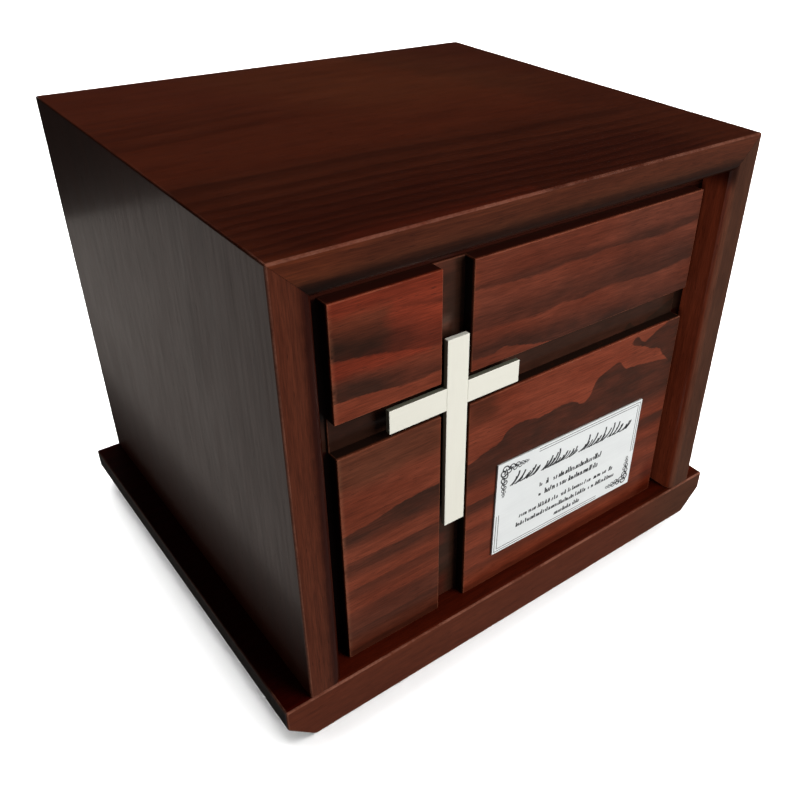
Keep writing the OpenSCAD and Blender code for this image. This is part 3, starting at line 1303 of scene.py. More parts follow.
@dataclass
class CaseBoards:
    """The two sides and the top, worked as one mitred arch and then parted at the mitres."""

    front_radius_mm: float = 3.6
    front_segments: int = 7
    arris_mm: float = 0.7
    foot_mm: float = 0.35
    joint_gap_mm: float = 0.03

    def arch(self) -> bmesh.types.BMesh:
        """Returns the arch of all three boards with its edges eased."""
        left, right, top = Board.of("left_side"), Board.of("right_side"), Board.of("top_board")
        inner, foot = -left.high.x, left.low.z
        ceiling, front = top.low.z, top.low.y
        bm = blank_mesh()
        extrude_outline(bm, [
            (left.low.x, foot), (-inner, foot), (-inner, ceiling), (inner, ceiling),
            (inner, foot), (right.high.x, foot), (right.high.x, top.high.z), (left.low.x, top.high.z),
        ], front, top.high.y)
        bmesh.ops.recalc_face_normals(bm, faces=bm.faces)

        def round_opening(edge: bmesh.types.BMEdge) -> bool:
            """Says whether an edge runs round the front opening."""
            return all(abs(v.co.y - front) < NEAR and abs(v.co.x) < inner + NEAR and v.co.z < ceiling + NEAR
                       for v in edge.verts)

        def at_foot(edge: bmesh.types.BMEdge) -> bool:
            """Says whether an edge touches the base all along."""
            return all(v.co.z < foot + NEAR for v in edge.verts)

        opening = [edge for edge in bm.edges if round_opening(edge)]
        ease(bm, opening, self.front_radius_mm, self.front_segments, as_arris=False)
        ease(bm, corners(bm, at_foot), self.foot_mm, 2)
        ease(bm, corners(bm), self.arris_mm, 3)
        return bm

    def part(self, whole: bmesh.types.BMesh, planes: Sequence[tuple[Vector, Vector]]) -> bmesh.types.BMesh:
        """Cuts a copy of the arch by planes and closes the cuts.

        Args:
            whole: the arch.
            planes: (point, outward direction) of each cut; what lies outward is dropped.

        Returns:
            The part that is left.
        """
        bm = whole.copy()
        for point, outward in planes:
            made = bmesh.ops.bisect_plane(bm, geom=bm.verts[:] + bm.edges[:] + bm.faces[:], dist=1e-7,
                                          plane_co=point - outward * self.joint_gap_mm * MM,
                                          plane_no=outward, clear_outer=True)
            cut = [e for e in made["geom_cut"] if isinstance(e, bmesh.types.BMEdge)]
            bmesh.ops.edgeloop_fill(bm, edges=cut)
        return bm

    def build(self, materials: dict[str, bpy.types.Material]) -> bpy.types.Object:
        """Builds the three boards.

        Args:
            materials: each board's material, by its CAD node.

        Returns:
            The right side board.
        """
        whole = self.arch()
        top = Board.of("top_board")
        left_corner = Vector((-top.high.x, 0, top.high.z))
        right_corner = Vector((top.high.x, 0, top.high.z))
        up_left = Vector((1, 0, 1)).normalized()
        up_right = Vector((-1, 0, 1)).normalized()
        pieces = {}
        for node, name, planes in (
                ("left_side", "left_side_board", [(left_corner, up_left)]),
                ("right_side", "right_side_board", [(right_corner, up_right)]),
                ("top_board", "top_board_shown", [(left_corner, -up_left), (right_corner, -up_right)])):
            pieces[node] = finish_piece(self.part(whole, planes), name, [node],
                                        [materials[node]])
        whole.free()
        return pieces["right_side"]


@dataclass
class PlainBoard:
    """A case board taken over from its CAD node with its corners eased."""

    node: str
    arris_mm: float = 0.7
    segments: int = 3

    def build(self, material: bpy.types.Material) -> bpy.types.Object:
        """Builds the board and returns it."""
        name = f"{self.node}_shown"
        return eased_copy(self.node, name, self.arris_mm, self.segments, material)


@dataclass
class FrontPanel:
    """The front panel: four raised fields, two channels that cross, and a sunk margin."""

    arris_mm: float = 0.4
    segments: int = 3

    def build(self, material: bpy.types.Material) -> None:
        """Builds the panel."""
        eased_copy("front_panel", "panelled_front", self.arris_mm, self.segments, material)


@dataclass
class MetalCross:
    """The two halved bars of the cross."""

    arris_mm: float = 0.18
    segments: int = 2

    def build(self, upright: bpy.types.Material, level: bpy.types.Material) -> None:
        """Builds both bars.

        Args:
            upright: the upright's material.
            level: the arm's material.
        """
        for node, material in (("cross_upright", upright), ("cross_arm", level)):
            eased_copy(node, f"{node}_bar", self.arris_mm, self.segments, material)


class GeoTree:
    """A Geometry Nodes tree that makes one kind of engraved mark.

    The marks are drawn in the XY plane and laid flat as low closed ribs.
    """

    def __init__(self, name: str, sizes: dict[str, float | int]) -> None:
        """Starts the tree.

        Args:
            name: the tree's name.
            sizes: number inputs and their defaults, where a whole number makes a whole number input.
        """
        self.tree = bpy.data.node_groups.new(name, "GeometryNodeTree")
        self.ids: dict[str, str] = {}
        for label, value in sizes.items():
            kind = "NodeSocketInt" if isinstance(value, int) else FLOAT
            self.socket(label, kind).default_value = value
        self.socket("Ink", "NodeSocketMaterial")
        self.tree.interface.new_socket("Geometry", in_out="OUTPUT", socket_type="NodeSocketGeometry")
        self.source = self.tree.nodes.new("NodeGroupInput")
        self.target = self.tree.nodes.new("NodeGroupOutput")

    def socket(self, label: str, kind: str) -> bpy.types.NodeTreeInterfaceSocket:
        """Adds an input to the tree, notes its identifier and returns it."""
        socket = self.tree.interface.new_socket(label, in_out="INPUT", socket_type=kind)
        self.ids[label] = socket.identifier
        return socket

    def read(self, label: str) -> bpy.types.NodeSocket:
        """Returns one of the tree's inputs."""
        return self.source.outputs[label]

    def add(self, kind: str, feeds: dict[object, object] | None = None,
            **settings: object) -> bpy.types.Node:
        """Adds a node, sets it up and feeds it.

        Args:
            kind: the node type.
            feeds: a value or a socket for each input, by name or number.
            settings: properties of the node.

        Returns:
            The node.
        """
        node = self.tree.nodes.new(kind)
        for label, value in settings.items():
            setattr(node, label, value)
        for label, value in (feeds or {}).items():
            if isinstance(value, bpy.types.NodeSocket):
                self.tree.links.new(value, node.inputs[label])
            else:
                node.inputs[label].default_value = value
        return node

    def math(self, operation: str, *values: object) -> bpy.types.NodeSocket:
        """Returns the result of a Math node."""
        return self.add("ShaderNodeMath", dict(enumerate(values)), operation=operation).outputs[0]

    def vector(self, x: object, y: object, z: object) -> bpy.types.NodeSocket:
        """Returns a vector made of three numbers."""
        return self.add("ShaderNodeCombineXYZ", {0: x, 1: y, 2: z}).outputs[0]

    def chance(self, low: float, high: float, offset: int) -> bpy.types.NodeSocket:
        """Draws a random number for each point.

        Args:
            low: the least number.
            high: the greatest number.
            offset: what is added to the Seed input, so that each use draws its own numbers.

        Returns:
            The number.
        """
        node = self.add("FunctionNodeRandomValue", data_type="FLOAT")
        numbers = [socket for socket in node.inputs if socket.type == "VALUE"]
        numbers[0].default_value = low
        numbers[1].default_value = high
        seed = self.math("ADD", self.read("Seed"), float(offset))
        self.tree.links.new(seed, node.inputs["Seed"])
        return next(socket for socket in node.outputs if socket.type == "VALUE")

    def pen(self, curve: bpy.types.NodeSocket, thin: float) -> bpy.types.NodeSocket:
        """Draws a closed rib along a curve, as wide as the Width input and thinner at both ends.

        Args:
            curve: the curve to follow.
            thin: the width at the ends as a share of the whole.

        Returns:
            The rib.
        """
        along = self.add("GeometryNodeSplineParameter").outputs["Factor"]
        swell = self.math("SINE", self.math("MULTIPLY", along, math.pi))
        radius = self.math("MULTIPLY_ADD", swell, 1.0 - thin, thin)
        shaped = self.add("GeometryNodeSetCurveRadius", {"Curve": curve, "Radius": radius})
        half = self.math("MULTIPLY", self.read("Width"), 0.5)
        ring = self.add("GeometryNodeCurvePrimitiveCircle", {"Resolution": 6, "Radius": half},
                        mode="RADIUS")
        rib = self.add("GeometryNodeCurveToMesh", {
            "Curve": shaped.outputs[0], "Profile Curve": ring.outputs[0], "Fill Caps": True})
        return rib.outputs[0]

    def spots(self, count: bpy.types.NodeSocket) -> bpy.types.NodeSocket:
        """Sets out a row of points that are one pitch apart.

        Args:
            count: how many points there are.

        Returns:
            The points.
        """
        step = self.vector(self.read("Pitch"), 0.0, 0.0)
        line = self.add("GeometryNodeMeshLine", {"Count": count, "Offset": step})
        return self.add("GeometryNodeMeshToPoints", {"Mesh": line.outputs[0]}).outputs[0]

    def moved(self, points: bpy.types.NodeSocket, x: object, y: object) -> bpy.types.NodeSocket:
        """Returns points moved in the plane of the marks."""
        shift = self.vector(x, y, 0.0)
        return self.add("GeometryNodeSetPosition", {"Geometry": points, "Offset": shift}).outputs[0]

    def finish(self, points: bpy.types.NodeSocket, shape: bpy.types.NodeSocket, angle: bpy.types.NodeSocket,
               size: bpy.types.NodeSocket) -> None:
        """Puts a real copy of a shape on each point, lays the copies flat and gives them their ink.

        Args:
            points: the points.
            shape: the rib that is copied.
            angle: how far each copy is turned.
            size: each copy's size as a vector.
        """
        turned = self.add("FunctionNodeAxisAngleToRotation", {"Axis": (0.0, 0.0, 1.0), "Angle": angle})
        copies = self.add("GeometryNodeInstanceOnPoints", {
            "Points": points, "Instance": shape, "Rotation": turned.outputs[0], "Scale": size})
        real = self.add("GeometryNodeRealizeInstances", {0: copies.outputs[0]})
        flat = self.add("GeometryNodeTransform", {"Geometry": real.outputs[0], "Scale": (1.0, 1.0, 0.12)})
        inked = self.add("GeometryNodeSetMaterial", {
            "Geometry": flat.outputs[0], "Material": self.read("Ink")})
        self.tree.links.new(inked.outputs[0], self.target.inputs[0])

    def cut(self, values: dict[str, object]) -> bpy.types.Mesh:
        """Runs the tree once.

        Args:
            values: an input value for each label.

        Returns:
            A new mesh of the marks.
        """
        blank = bpy.data.objects.new("mark", bpy.data.meshes.new("mark"))
        bpy.context.scene.collection.objects.link(blank)
        modifier = blank.modifiers.new("marks", "NODES")
        modifier.node_group = self.tree
        for label, value in values.items():
            modifier[self.ids[label]] = value
        depsgraph = bpy.context.evaluated_depsgraph_get()
        mesh = bpy.data.meshes.new_from_object(blank.evaluated_get(depsgraph))
        blank.modifiers.remove(modifier)
        bpy.data.objects.remove(blank)
        return mesh


def build_stroke_row() -> GeoTree:
    """Builds a row of slanted strokes in uneven groups, which stand for writing and aren't letters.

    Returns:
        The tree.
    """
    geo = GeoTree("stroke_row", {"Length": 0.02, "Pitch": 0.001, "Height": 0.002, "Slant": 0.1,
                                 "Width": 0.0003, "Curl": 0.2, "Gaps": 0.15, "Least": 0.55, "Seed": 1})
    height, pitch = geo.read("Height"), geo.read("Pitch")
    lean = geo.math("MULTIPLY", height, geo.read("Slant"))
    bow = geo.math("MULTIPLY", height, geo.read("Curl"))
    middle = geo.vector(geo.math("MULTIPLY_ADD", lean, 0.5, bow), geo.math("MULTIPLY", height, 0.45), 0.0)
    stroke = geo.add("GeometryNodeCurveQuadraticBezier", {
        "Resolution": 6, "Start": (0.0, 0.0, 0.0), "Middle": middle, "End": geo.vector(lean, height, 0.0)})
    gap = geo.math("LESS_THAN", geo.chance(0.0, 1.0, 0), geo.read("Gaps"))
    kept = geo.add("GeometryNodeDeleteGeometry", {
        "Geometry": geo.spots(geo.math("DIVIDE", geo.read("Length"), pitch)), "Selection": gap})
    points = geo.moved(kept.outputs[0], geo.math("MULTIPLY", pitch, geo.chance(-0.22, 0.22, 1)), 0.0)
    tall = geo.math("GREATER_THAN", geo.chance(0.0, 1.0, 2), 0.72)
    size = geo.math("MAXIMUM", tall, geo.math("MULTIPLY", geo.read("Least"), geo.chance(0.9, 1.1, 3)))
    rib = geo.pen(stroke.outputs[0], 0.45)
    geo.finish(points, rib, geo.chance(-0.3, 0.3, 4), geo.vector(1.0, size, 1.0))
    return geo


def build_scroll_arm() -> GeoTree:
    """Builds an arm of curled leaves that shrink towards its end.

    Returns:
        The tree.
    """
    geo = GeoTree("scroll_arm", {"Pitch": 0.0024, "Size": 0.0016, "Width": 0.0003, "Shrink": 0.1,
                                 "Count": 6, "Seed": 1})
    full, pitch = geo.read("Size"), geo.read("Pitch")
    curl = geo.add("GeometryNodeCurveSpiral", {
        "Resolution": 14, "Rotations": 1.15, "Start Radius": geo.math("MULTIPLY", full, 0.16),
        "End Radius": full, "Height": 0.0})
    index = geo.add("GeometryNodeInputIndex").outputs[0]
    side = geo.math("MULTIPLY_ADD", geo.math("MODULO", index, 2.0), -2.0, 1.0)
    size = geo.math("SUBTRACT", 1.0, geo.math("MULTIPLY", index, geo.read("Shrink")))
    drop = geo.math("MULTIPLY", geo.math("MULTIPLY", full, size), geo.math("MULTIPLY", side, 0.28))
    closer = geo.math("MULTIPLY", geo.math("MULTIPLY", index, index), geo.math("MULTIPLY", pitch, -0.035))
    points = geo.moved(geo.spots(geo.read("Count")), closer, drop)
    leaf = geo.pen(curl.outputs[0], 0.5)
    mirrored = geo.vector(size, geo.math("MULTIPLY", size, side), 1.0)
    geo.finish(points, leaf, geo.chance(-0.5, 0.9, 1), mirrored)
    return geo


@dataclass(frozen=True)
class StrokeRow:
    """One row of strokes on the plate, in millimetres from its top left corner."""

    left: float
    base: float
    length: float
    height: float
    pitch: float
    width: float
    slant: float
    seed: int
    curl: float = 0.1
    gaps: float = 0.14
    least: float = 0.62

    def values(self, ink: bpy.types.Material) -> dict[str, object]:
        """Returns the inputs of the row's tree."""
        return {"Length": self.length * MM, "Pitch": self.pitch * MM, "Height": self.height * MM,
                "Slant": self.slant, "Width": self.width * MM, "Curl": self.curl, "Gaps": self.gaps,
                "Least": self.least, "Seed": self.seed, "Ink": ink}


@dataclass(frozen=True)
class ScrollArm:
    """One arm of a corner scroll, in millimetres from the plate's top left corner."""

    left: float
    top: float
    turn_degrees: float
    mirrored: bool
    count: int
    pitch: float
    size: float
    seed: int
    width: float = 0.62
    shrink: float = 0.072

    def values(self, ink: bpy.types.Material) -> dict[str, object]:
        """Returns the inputs of the arm's tree."""
        return {"Pitch": self.pitch * MM, "Size": self.size * MM, "Width": self.width * MM,
                "Shrink": self.shrink, "Count": self.count, "Seed": self.seed, "Ink": ink}


@dataclass
class NamePlate:
    """The thin plate: a satin sheet with border lines, corner scrolls and rows of strokes.

    Sizes are millimetres. The middle is (x, z) in the box's frame. Each border line lies at an inset from
    the edge, in two angled pairs: line_ends says where the top, right, left and bottom lines stop.
    """

    middle: tuple[float, float] = (24.3, 53.9)
    width: float = 78.4
    height: float = 43.8
    turn_degrees: float = 0.9
    front_y: float = face_mm("name_plate", LOW, Y)
    back_y: float = FIELD_FRONT_MM
    arris_mm: float = 0.08
    rows: tuple[StrokeRow, ...] = (
        StrokeRow(6.6, 12.3, 13.4, 5.6, 1.0, 0.84, 0.62, 3, curl=0.3, gaps=0.0, least=0.5),
        StrokeRow(22.6, 12.2, 17.0, 6.0, 1.0, 0.84, 0.62, 8, curl=0.3, gaps=0.0, least=0.48),
        StrokeRow(43.0, 12.0, 14.0, 5.8, 1.0, 0.84, 0.62, 14, curl=0.3, gaps=0.0, least=0.5),
        StrokeRow(59.4, 11.8, 12.2, 5.6, 1.0, 0.84, 0.62, 21, curl=0.3, gaps=0.0, least=0.5),
        StrokeRow(22.8, 20.0, 1.6, 1.9, 0.75, 0.6, 0.0, 5, gaps=0.0),
        StrokeRow(26.2, 20.2, 31.0, 2.7, 0.86, 0.7, 0.05, 31, gaps=0.17),
        StrokeRow(22.8, 24.8, 1.6, 1.9, 0.75, 0.6, 0.0, 6, gaps=0.0),
        StrokeRow(26.0, 24.9, 31.6, 2.7, 0.86, 0.7, 0.05, 47, gaps=0.15),
        StrokeRow(13.0, 31.0, 53.6, 2.2, 0.77, 0.62, 0.05, 55, gaps=0.16),
        StrokeRow(11.6, 35.3, 56.6, 2.2, 0.77, 0.62, 0.05, 64, gaps=0.16),
        StrokeRow(33.0, 39.6, 15.0, 2.2, 0.77, 0.62, 0.05, 71, gaps=0.12),
    )
    arms: tuple[ScrollArm, ...] = (
        ScrollArm(3.7, 3.8, 0.0, False, 11, 1.75, 1.9, 2),
        ScrollArm(3.6, 4.6, -90.0, True, 11, 1.75, 1.85, 4),
        ScrollArm(74.7, 40.0, 180.0, False, 10, 1.75, 1.85, 6),
        ScrollArm(74.8, 39.2, 90.0, True, 10, 1.75, 1.8, 9),
    )
    line_insets: tuple[float, ...] = (0.95, 2.1)
    line_width: float = 0.24
    line_thick: float = 0.05
    line_ends: tuple[float, float, float, float] = (20.6, 26.0, 24.5, 58.0)

    def place(self) -> Matrix:
        """Returns where the plate's drawing goes: u right, v up, w towards the viewer."""
        to_middle = Matrix.Translation(Vector((-self.width / 2, self.height / 2, 0)) * MM)
        upright = Matrix(((1, 0, 0, 0), (0, 0, -1, 0), (0, 1, 0, 0), (0, 0, 0, 1)))
        turned = Matrix.Rotation(math.radians(self.turn_degrees), 4, "Y")
        there = Matrix.Translation(Vector((self.middle[0], self.front_y, self.middle[1])) * MM)
        return there @ turned @ upright @ to_middle

    def add_block(self, bm: bmesh.types.BMesh, low: Sequence[float], high: Sequence[float],
                  ) -> set[bmesh.types.BMFace]:
        """Adds a block to the plate's drawing.

        Args:
            bm: the mesh that it is added to.
            low: its left, top and lowest place, in millimetres from the plate's top left corner.
            high: its right, bottom and highest place.

        Returns:
            The block's faces.
        """
        size = Vector((high[0] - low[0], high[1] - low[1], high[2] - low[2])) * MM
        middle = Vector((high[0] + low[0], -(high[1] + low[1]), high[2] + low[2])) / 2 * MM
        matrix = self.place() @ Matrix.Translation(middle) @ Matrix.Diagonal(size).to_4x4()
        made = bmesh.ops.create_cube(bm, size=1.0, matrix=matrix)
        return {face for vertex in made["verts"] for face in vertex.link_faces}

    def sheet(self) -> bmesh.types.BMesh:
        """Returns the plain sheet with fine arrises."""
        bm = blank_mesh()
        self.add_block(bm, (0.0, 0.0, self.front_y - self.back_y), (self.width, self.height, 0.0))
        ease(bm, corners(bm), self.arris_mm, 2)
        return bm

    def add_border(self, bm: bmesh.types.BMesh) -> None:
        """Adds the two angled pairs of border lines, which stop short of the scrolls.

        Args:
            bm: the sheet.
        """
        half = self.line_width / 2
        top_start, right_end, left_start, bottom_end = self.line_ends
        for inset in self.line_insets:
            right, bottom = self.width - inset, self.height - inset
            for low, high in (((top_start, inset - half), (right + half, inset + half)),
                              ((right - half, inset + half), (right + half, right_end)),
                              ((inset - half, left_start), (inset + half, bottom + half)),
                              ((inset + half, bottom - half), (bottom_end, bottom + half))):
                for face in self.add_block(bm, (*low, -self.line_thick / 2), (*high, self.line_thick / 2)):
                    face.material_index = 1

    def add_marks(self, bm: bmesh.types.BMesh, marks: bpy.types.Mesh, where: Matrix) -> None:
        """Joins engraved marks to the sheet as its second material.

        Args:
            bm: the sheet.
            marks: the marks; their mesh is removed.
            where: their place in the plate's drawing.
        """
        marks.transform(self.place() @ where)
        count = len(bm.faces)
        bm.from_mesh(marks)
        bm.faces.ensure_lookup_table()
        for face in bm.faces[count:]:
            face.material_index = 1
        bpy.data.meshes.remove(marks)

    def build(self, sheet: bpy.types.Material, ink: bpy.types.Material) -> None:
        """Builds the plate.

        Args:
            sheet: the metal of the plate.
            ink: the filling of its lines and marks.
        """
        bm = self.sheet()
        self.add_border(bm)
        row_tree = build_stroke_row()
        for row in self.rows:
            where = Matrix.Translation(Vector((row.left, -row.base, 0.0)) * MM)
            self.add_marks(bm, row_tree.cut(row.values(ink)), where)
        arm_tree = build_scroll_arm()
        for arm in self.arms:
            flip = Matrix.Diagonal(Vector((1.0, -1.0 if arm.mirrored else 1.0, 1.0, 1.0)))
            where = (Matrix.Translation(Vector((arm.left, -arm.top, 0.0)) * MM)
                     @ Matrix.Rotation(math.radians(arm.turn_degrees), 4, "Z") @ flip)
            self.add_marks(bm, arm_tree.cut(arm.values(ink)), where)
        finish_piece(bm, "name_plate_sheet", ["name_plate"], [sheet, ink])


# ---------------------------------------------------------------------------------------------
# Studio
# ---------------------------------------------------------------------------------------------


class Reach(Enum):
    """What a lamp lights."""

    OBJECT = "all of the box, and not the floor"
    FLOOR = "only the floor, shaded by the base"
    BARE_FLOOR = "only the floor, shaded by nothing"
    PIECE = "only one chosen piece"


@dataclass(frozen=True)
class SoftLight:
    """A square soft box that the camera doesn't see."""

    name: str
    place: tuple[float, float, float]
    target: tuple[float, float, float]
    size: float
    power: float
    reach: Reach = Reach.OBJECT
    in_gloss: bool = False

    def build(self) -> bpy.types.Object:
        """Hangs the light and returns it."""
        data = bpy.data.lights.new(self.name, "AREA")
        data.shape = "SQUARE"
        data.size = self.size
        data.energy = self.power
        lamp = bpy.data.objects.new(self.name, data)
        bpy.context.scene.collection.objects.link(lamp)
        lamp.location = self.place
        aim = Vector(self.target) - Vector(self.place)
        lamp.rotation_euler = aim.to_track_quat("-Z", "Y").to_euler()
        lamp.visible_camera = False
        lamp.visible_glossy = self.in_gloss
        return lamp


@dataclass
class Studio:
    """The floor, the soft lights and the camera.

    The room is brightest towards bright_way. The card lies between its near and far x, beside the box.
    """

    eye: tuple[float, float, float] = (-0.1815, -0.2669, 0.2694)
    azimuth: float = -0.70008
    elevation: float = 0.58323
    roll: float = 0.03974
    lens_mm: float = 38.57
    sensor_mm: float = 36.0
    shift: tuple[float, float] = (-0.09045, -0.00507)
    room_dim: float = 0.022
    room_bright: float = 0.26
    room_tone: Colour = (1.0, 0.93, 0.85)
    bright_way: tuple[float, float, float] = (0.45, -0.87, -0.2)
    floor_half: float = 4.0
    floor_tone: Colour = (0.93, 0.93, 0.93)
    card_near: float = -0.125
    card_far: float = -1.6
    card_front: float = -0.6
    card_back: float = 0.435
    card_lift: float = 0.0004
    card_fade_mm: float = 130.0
    card_glow: tuple[float, float] = (0.6, 0.52)
    card_tone: Colour = (1.0, 0.91, 0.84)
    lights: tuple[SoftLight, ...] = (
        SoftLight("window", (0.8, -1.3, 0.62), (0, 0, 0.09), 1.1, 36.0),
        SoftLight("window_glow", (0.8, -1.3, 0.62), (0, 0, 0.09), 1.1, 5.0, in_gloss=True),
        SoftLight("overhead", (0.6, 0.1, 1.3), (0, 0, 0.1), 1.2, 13.0),
        SoftLight("left_fill", (-1.2, -0.5, 0.5), (0, 0, 0.1), 1.0, 1.6),
        SoftLight("back_fill", (0.5, 1.5, 0.7), (0, 0, 0.1), 1.2, 7.0),
        SoftLight("inner_fill", (-0.95, -0.85, 0.2), (0.09, -0.09, 0.1), 0.5, 8.0, Reach.PIECE),
        SoftLight("floor_light", (0.62, 0.12, 1.7), (0, 0, 0.0), 2.1, 64.0, Reach.FLOOR),
        SoftLight("floor_back", (0.0, 1.1, 1.4), (0, 0, 0.0), 1.8, 42.0, Reach.FLOOR),
        SoftLight("floor_wash", (0.62, 0.12, 1.7), (0, 0, 0.0), 2.1, 38.0, Reach.BARE_FLOOR),
    )

    def build_camera(self) -> None:
        """Sets up the camera, level with the edge lines of the box."""
        cos_e, sin_e = math.cos(self.elevation), math.sin(self.elevation)
        back = Vector((math.sin(self.azimuth) * cos_e, -math.cos(self.azimuth) * cos_e, sin_e))
        side = Vector((0, 0, 1)).cross(back).normalized()
        up = back.cross(side)
        cos_r, sin_r = math.cos(self.roll), math.sin(self.roll)
        right = side * cos_r + up * sin_r
        top = up * cos_r - side * sin_r
        data = bpy.data.cameras.new("camera")
        data.sensor_width = self.sensor_mm
        data.lens = self.lens_mm
        data.shift_x, data.shift_y = self.shift
        data.clip_start = 0.01
        camera = bpy.data.objects.new("camera", data)
        bpy.context.scene.collection.objects.link(camera)
        turn = Matrix((right, top, back)).transposed().to_4x4()
        camera.matrix_world = Matrix.Translation(Vector(self.eye)) @ turn
        bpy.context.scene.camera = camera

    def build_floor(self) -> bpy.types.Object:
        """Lays a wide pale floor and returns it."""
        half = self.floor_half
        floor = flat_sheet("floor", (-half, -half), (half, half), 0.0)
        material, g, shader = new_material("pale_floor")
        g.fill(shader, Base_Color=self.floor_tone, Roughness=0.9, Specular_IOR_Level=0.0)
        floor.data.materials.append(material)
        floor.visible_glossy = False
        floor.visible_diffuse = False
        return floor

    def build_side_card(self) -> bpy.types.Object:
        """Lays a glowing card beside the box that only reflections see, dimmer near it: painted shade in
        reflection.
        """
        card = flat_sheet("side_card", (self.card_far, self.card_front), (self.card_near, self.card_back),
                          self.card_lift)
        material, g, shader = new_material("side_card", "ShaderNodeEmission")
        x = g.split(g.millimetres())[X]
        near_mm = self.card_near / MM
        glow = g.fit(x, near_mm - self.card_fade_mm, near_mm, *self.card_glow, smooth=False)
        g.fill(shader, Strength=glow, Color=self.card_tone)
        card.data.materials.append(material)
        card.visible_camera = False
        card.visible_diffuse = False
        card.visible_shadow = False
        card.visible_transmission = False
        return card

    def build_world(self) -> None:
        """Fills the room with faint light that comes mostly from one side."""
        world = bpy.data.worlds.new("room")
        world.use_nodes = True
        g = Graph(world.node_tree)
        where = g.add("ShaderNodeTexCoord")
        toward = g.add("ShaderNodeVectorMath", operation="DOT_PRODUCT")
        g.feed(toward.inputs[0], Wire(g, where.outputs["Generated"]))
        g.feed(toward.inputs[1], Vector(self.bright_way).normalized())
        strength = g.fit(Wire(g, toward.outputs["Value"]), 0.0, 1.0, self.room_dim, self.room_bright,
                         smooth=False)
        g.fill(world.node_tree.nodes["Background"], Strength=strength, Color=self.room_tone)
        bpy.context.scene.world = world

    def build(self, foot: bpy.types.Object, dim_piece: bpy.types.Object) -> None:
        """Builds the whole studio.

        Args:
            foot: the piece that stands on the floor and shades it.
            dim_piece: the piece that gets a light of its own.
        """
        self.build_camera()
        self.build_world()
        floor = self.build_floor()
        card = self.build_side_card()
        not_floor = linked("lit_objects", floor, "EXCLUDE")
        floor_alone = linked("lit_floor", floor, "INCLUDE")
        foot_alone = linked("shading_foot", foot, "INCLUDE")
        piece_alone = linked("lit_piece", dim_piece, "INCLUDE")
        receivers = {Reach.OBJECT: not_floor, Reach.PIECE: piece_alone, Reach.FLOOR: floor_alone,
                     Reach.BARE_FLOOR: floor_alone}
        blockers = {Reach.FLOOR: foot_alone, Reach.BARE_FLOOR: floor_alone}
        for light in self.lights:
            linking = light.build().light_linking
            linking.receiver_collection = receivers[light.reach]
            linking.blocker_collection = blockers.get(light.reach)
        bpy.context.scene.view_settings.view_transform = "Standard"


def linked(name: str, member: bpy.types.Object, state: str) -> bpy.types.Collection:
    """Makes a light linking collection with one member.

    Args:
        name: the collection's name.
        member: the object that the lamp reaches, or doesn't.
        state: INCLUDE or EXCLUDE.

    Returns:
        The collection.
    """
    group = bpy.data.collections.new(name)
    group.objects.link(member)
    group.collection_objects[0].light_linking.link_state = state
    return group


def flat_sheet(name: str, low: tuple[float, float], high: tuple[float, float],
               height: float) -> bpy.types.Object:
    """Makes a level rectangle.

    Args:
        name: the object's name.
        low: its least x and y.
        high: its greatest x and y.
        height: its z.

    Returns:
        The rectangle.
    """
    mesh = bpy.data.meshes.new(name)
    corner_places = [(low[0], low[1]), (high[0], low[1]), (high[0], high[1]), (low[0], high[1])]
    mesh.from_pydata([(x, y, height) for x, y in corner_places], [], [(0, 1, 2, 3)])
    sheet = bpy.data.objects.new(name, mesh)
    bpy.context.scene.collection.objects.link(sheet)
    return sheet


# ---------------------------------------------------------------------------------------------
# The whole box
# ---------------------------------------------------------------------------------------------


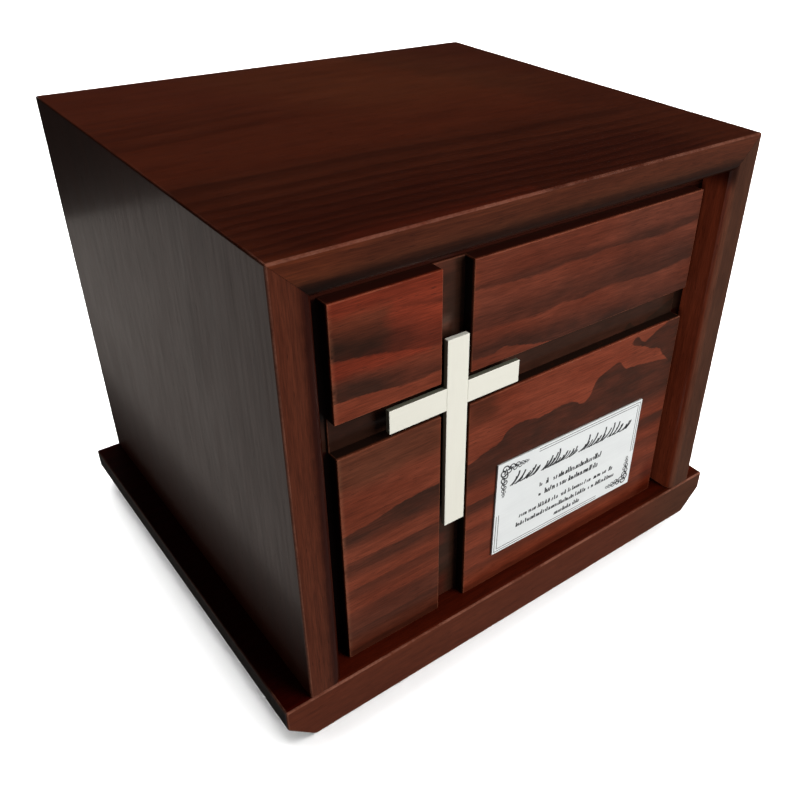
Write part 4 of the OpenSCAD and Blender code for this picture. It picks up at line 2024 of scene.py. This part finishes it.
def build_case_stains(effects: Effects) -> dict[str, bpy.types.Material]:
    """Builds the stains of the case boards and the base.

    Args:
        effects: the shared node groups.

    Returns:
        Each board's material, by its CAD node.
    """
    case = StainTones(
        early=(0.042, 0.0072, 0.0022), late=(0.020, 0.0032, 0.0010), deep=(0.012, 0.002, 0.001),
        glow=(0.052, 0.0098, 0.0032), worn_and_highlight=(0.2, 0.08, 0.052))
    finishes = {
        "top_board": LinedTop(
            "top_board_stain", case, GrainAxis.LEVEL, heart=(60.0, 0.0), rings=0.7,
            front_lift=(1.5, 2.0, 2.55), shades=(
                # Painted shade: the front strip and its rounding darken towards the opening.
                Shade(Z, 177.5, 172.0, (0.62, 0.72, 0.74)),
                Shade(Z, 174.0, 170.6, (0.34, 0.25, 0.2)),
                Shade(X, -66.0, -88.0, (1.3, 1.22, 1.05)),
                # Painted shade: the rounding is darker still towards the left corner.
                Shade(Z, 175.0, 171.2, (0.36, 0.36, 0.4), limit=(X, -62.0, -86.0)))),
        "base_board": StraightBoard(
            "base_board_stain", case, GrainAxis.LEVEL, heart=(60.0, 120.0), shift=(40.0, 0.0, 0.0),
            rings=0.4, front_lift=(1.7, 2.1, 2.8), wear_and_highlight=0.75, coat=0.2, shades=(
                # Painted shade on the ledge and end of the base beside the left side, where little light
                # falls.
                Shade(X, -98.0, -100.5, (0.5, 0.2, 0.2), front_only=False, limit=(Y, -91.2, -90.6)),
                # Painted reflection: the base's left end face is turned blue-grey.
                Shade(X, -109.3, -110.2, (2.6, 34.0, 100.0), front_only=False, limit=(Y, -91.2, -90.6)),
                Shade(Z, 17.2, 18.3, (1.0, 0.56, 0.45), front_only=False, limit=(Y, -91.1, -90.6)),
                Shade(X, 45.0, 100.0, (0.72, 1.05, 1.15)))),
        "left_side": StraightBoard(
            "left_side_stain", case, GrainAxis.UPRIGHT, shift=(20.0, 0.0, 0.0), rings=0.4,
            front_lift=(1.6, 2.15, 3.0), figure=0.6, shades=(
                # Painted shade: the stile's rounding darkens as it turns into the opening.
                Shade(X, -93.2, -89.8, (0.24, 0.12, 0.09)),)),
        "right_side": StraightBoard(
            "right_side_stain", case, GrainAxis.UPRIGHT, shift=(-70.0, 9.0, 0.0), rings=0.4,
            front_lift=(1.05, 2.05, 3.2), shades=(
                # The inner face of the opening and its rounding are lighter: partly a paler stain, partly
                # painted light.
                Shade(X, 91.4, 87.4, (2.1, 2.0, 2.2), front_only=False),
                Shade(Y, -89.5, -87.2, (1.5, 1.6, 1.85), front_only=False, limit=(X, 88.0, 87.1)),
                # Painted shade at the top of the inner face, in the corner under the top board.
                Shade(Z, 159.0, 167.0, (0.2, 0.16, 0.16), front_only=False, limit=(X, 91.0, 89.0)))),
        "back_board": StraightBoard(
            "back_board_stain", case, GrainAxis.UPRIGHT, shift=(-170.0, 0.0, 0.0), rings=0.4),
    }
    return {node: finish.build(effects) for node, finish in finishes.items()}


def build_cross_metals(effects: Effects) -> tuple[bpy.types.Material, bpy.types.Material]:
    """Builds the metal of the cross.

    Args:
        effects: the shared node groups.

    Returns:
        The upright's material and the arm's.
    """
    face, shade = (0.82, 0.81, 0.72), (0.72, 0.71, 0.63)
    back_mm = CROSS_FRONT_MM + 2.02
    # Each edge colour is painted shade on the bar's sides; the upright's top end is left lit.
    upright = SatinMetal("cross_satin_upright", face, shade, GrainAxis.UPRIGHT, edge=(0.26, 0.25, 0.21),
                         lit_above_mm=136.5, hidden_from_mm=back_mm)
    arm = SatinMetal("cross_satin_arm", face, shade, GrainAxis.LEVEL, edge=(0.17, 0.17, 0.14),
                     hidden_from_mm=back_mm)
    return upright.build(effects), arm.build(effects)


def main() -> None:
    """Builds the studio and every piece."""
    logging.basicConfig(level=logging.INFO, format="%(name)s: %(message)s")
    effects = Effects.build()
    stains = build_case_stains(effects)
    right_board = CaseBoards().build(stains)
    foot = PlainBoard("base_board").build(stains["base_board"])
    PlainBoard("back_board").build(stains["back_board"])
    panel = StainTones(
        early=(0.118, 0.0215, 0.009), late=(0.026, 0.0092, 0.0054), deep=(0.03, 0.0075, 0.004),
        glow=(0.185, 0.040, 0.019), worn_and_highlight=(0.26, 0.085, 0.045))
    fields = FlatSawnPanel("front_panel_stain", panel, GrainAxis.LEVEL, streaks=0.4, blotches=0.8,
                           pores=0.8, wear_and_highlight=0.42)
    FrontPanel().build(fields.build(effects))
    MetalCross().build(*build_cross_metals(effects))
    plate = SatinMetal("plate_satin", (0.76, 0.785, 0.785), (0.58, 0.6, 0.605), GrainAxis.LEVEL,
                       metallic=0.12)
    NamePlate().build(plate.build(effects), EngravedInk("plate_ink").build())
    Studio().build(foot, right_board)


if __name__ == "__main__":
    main()
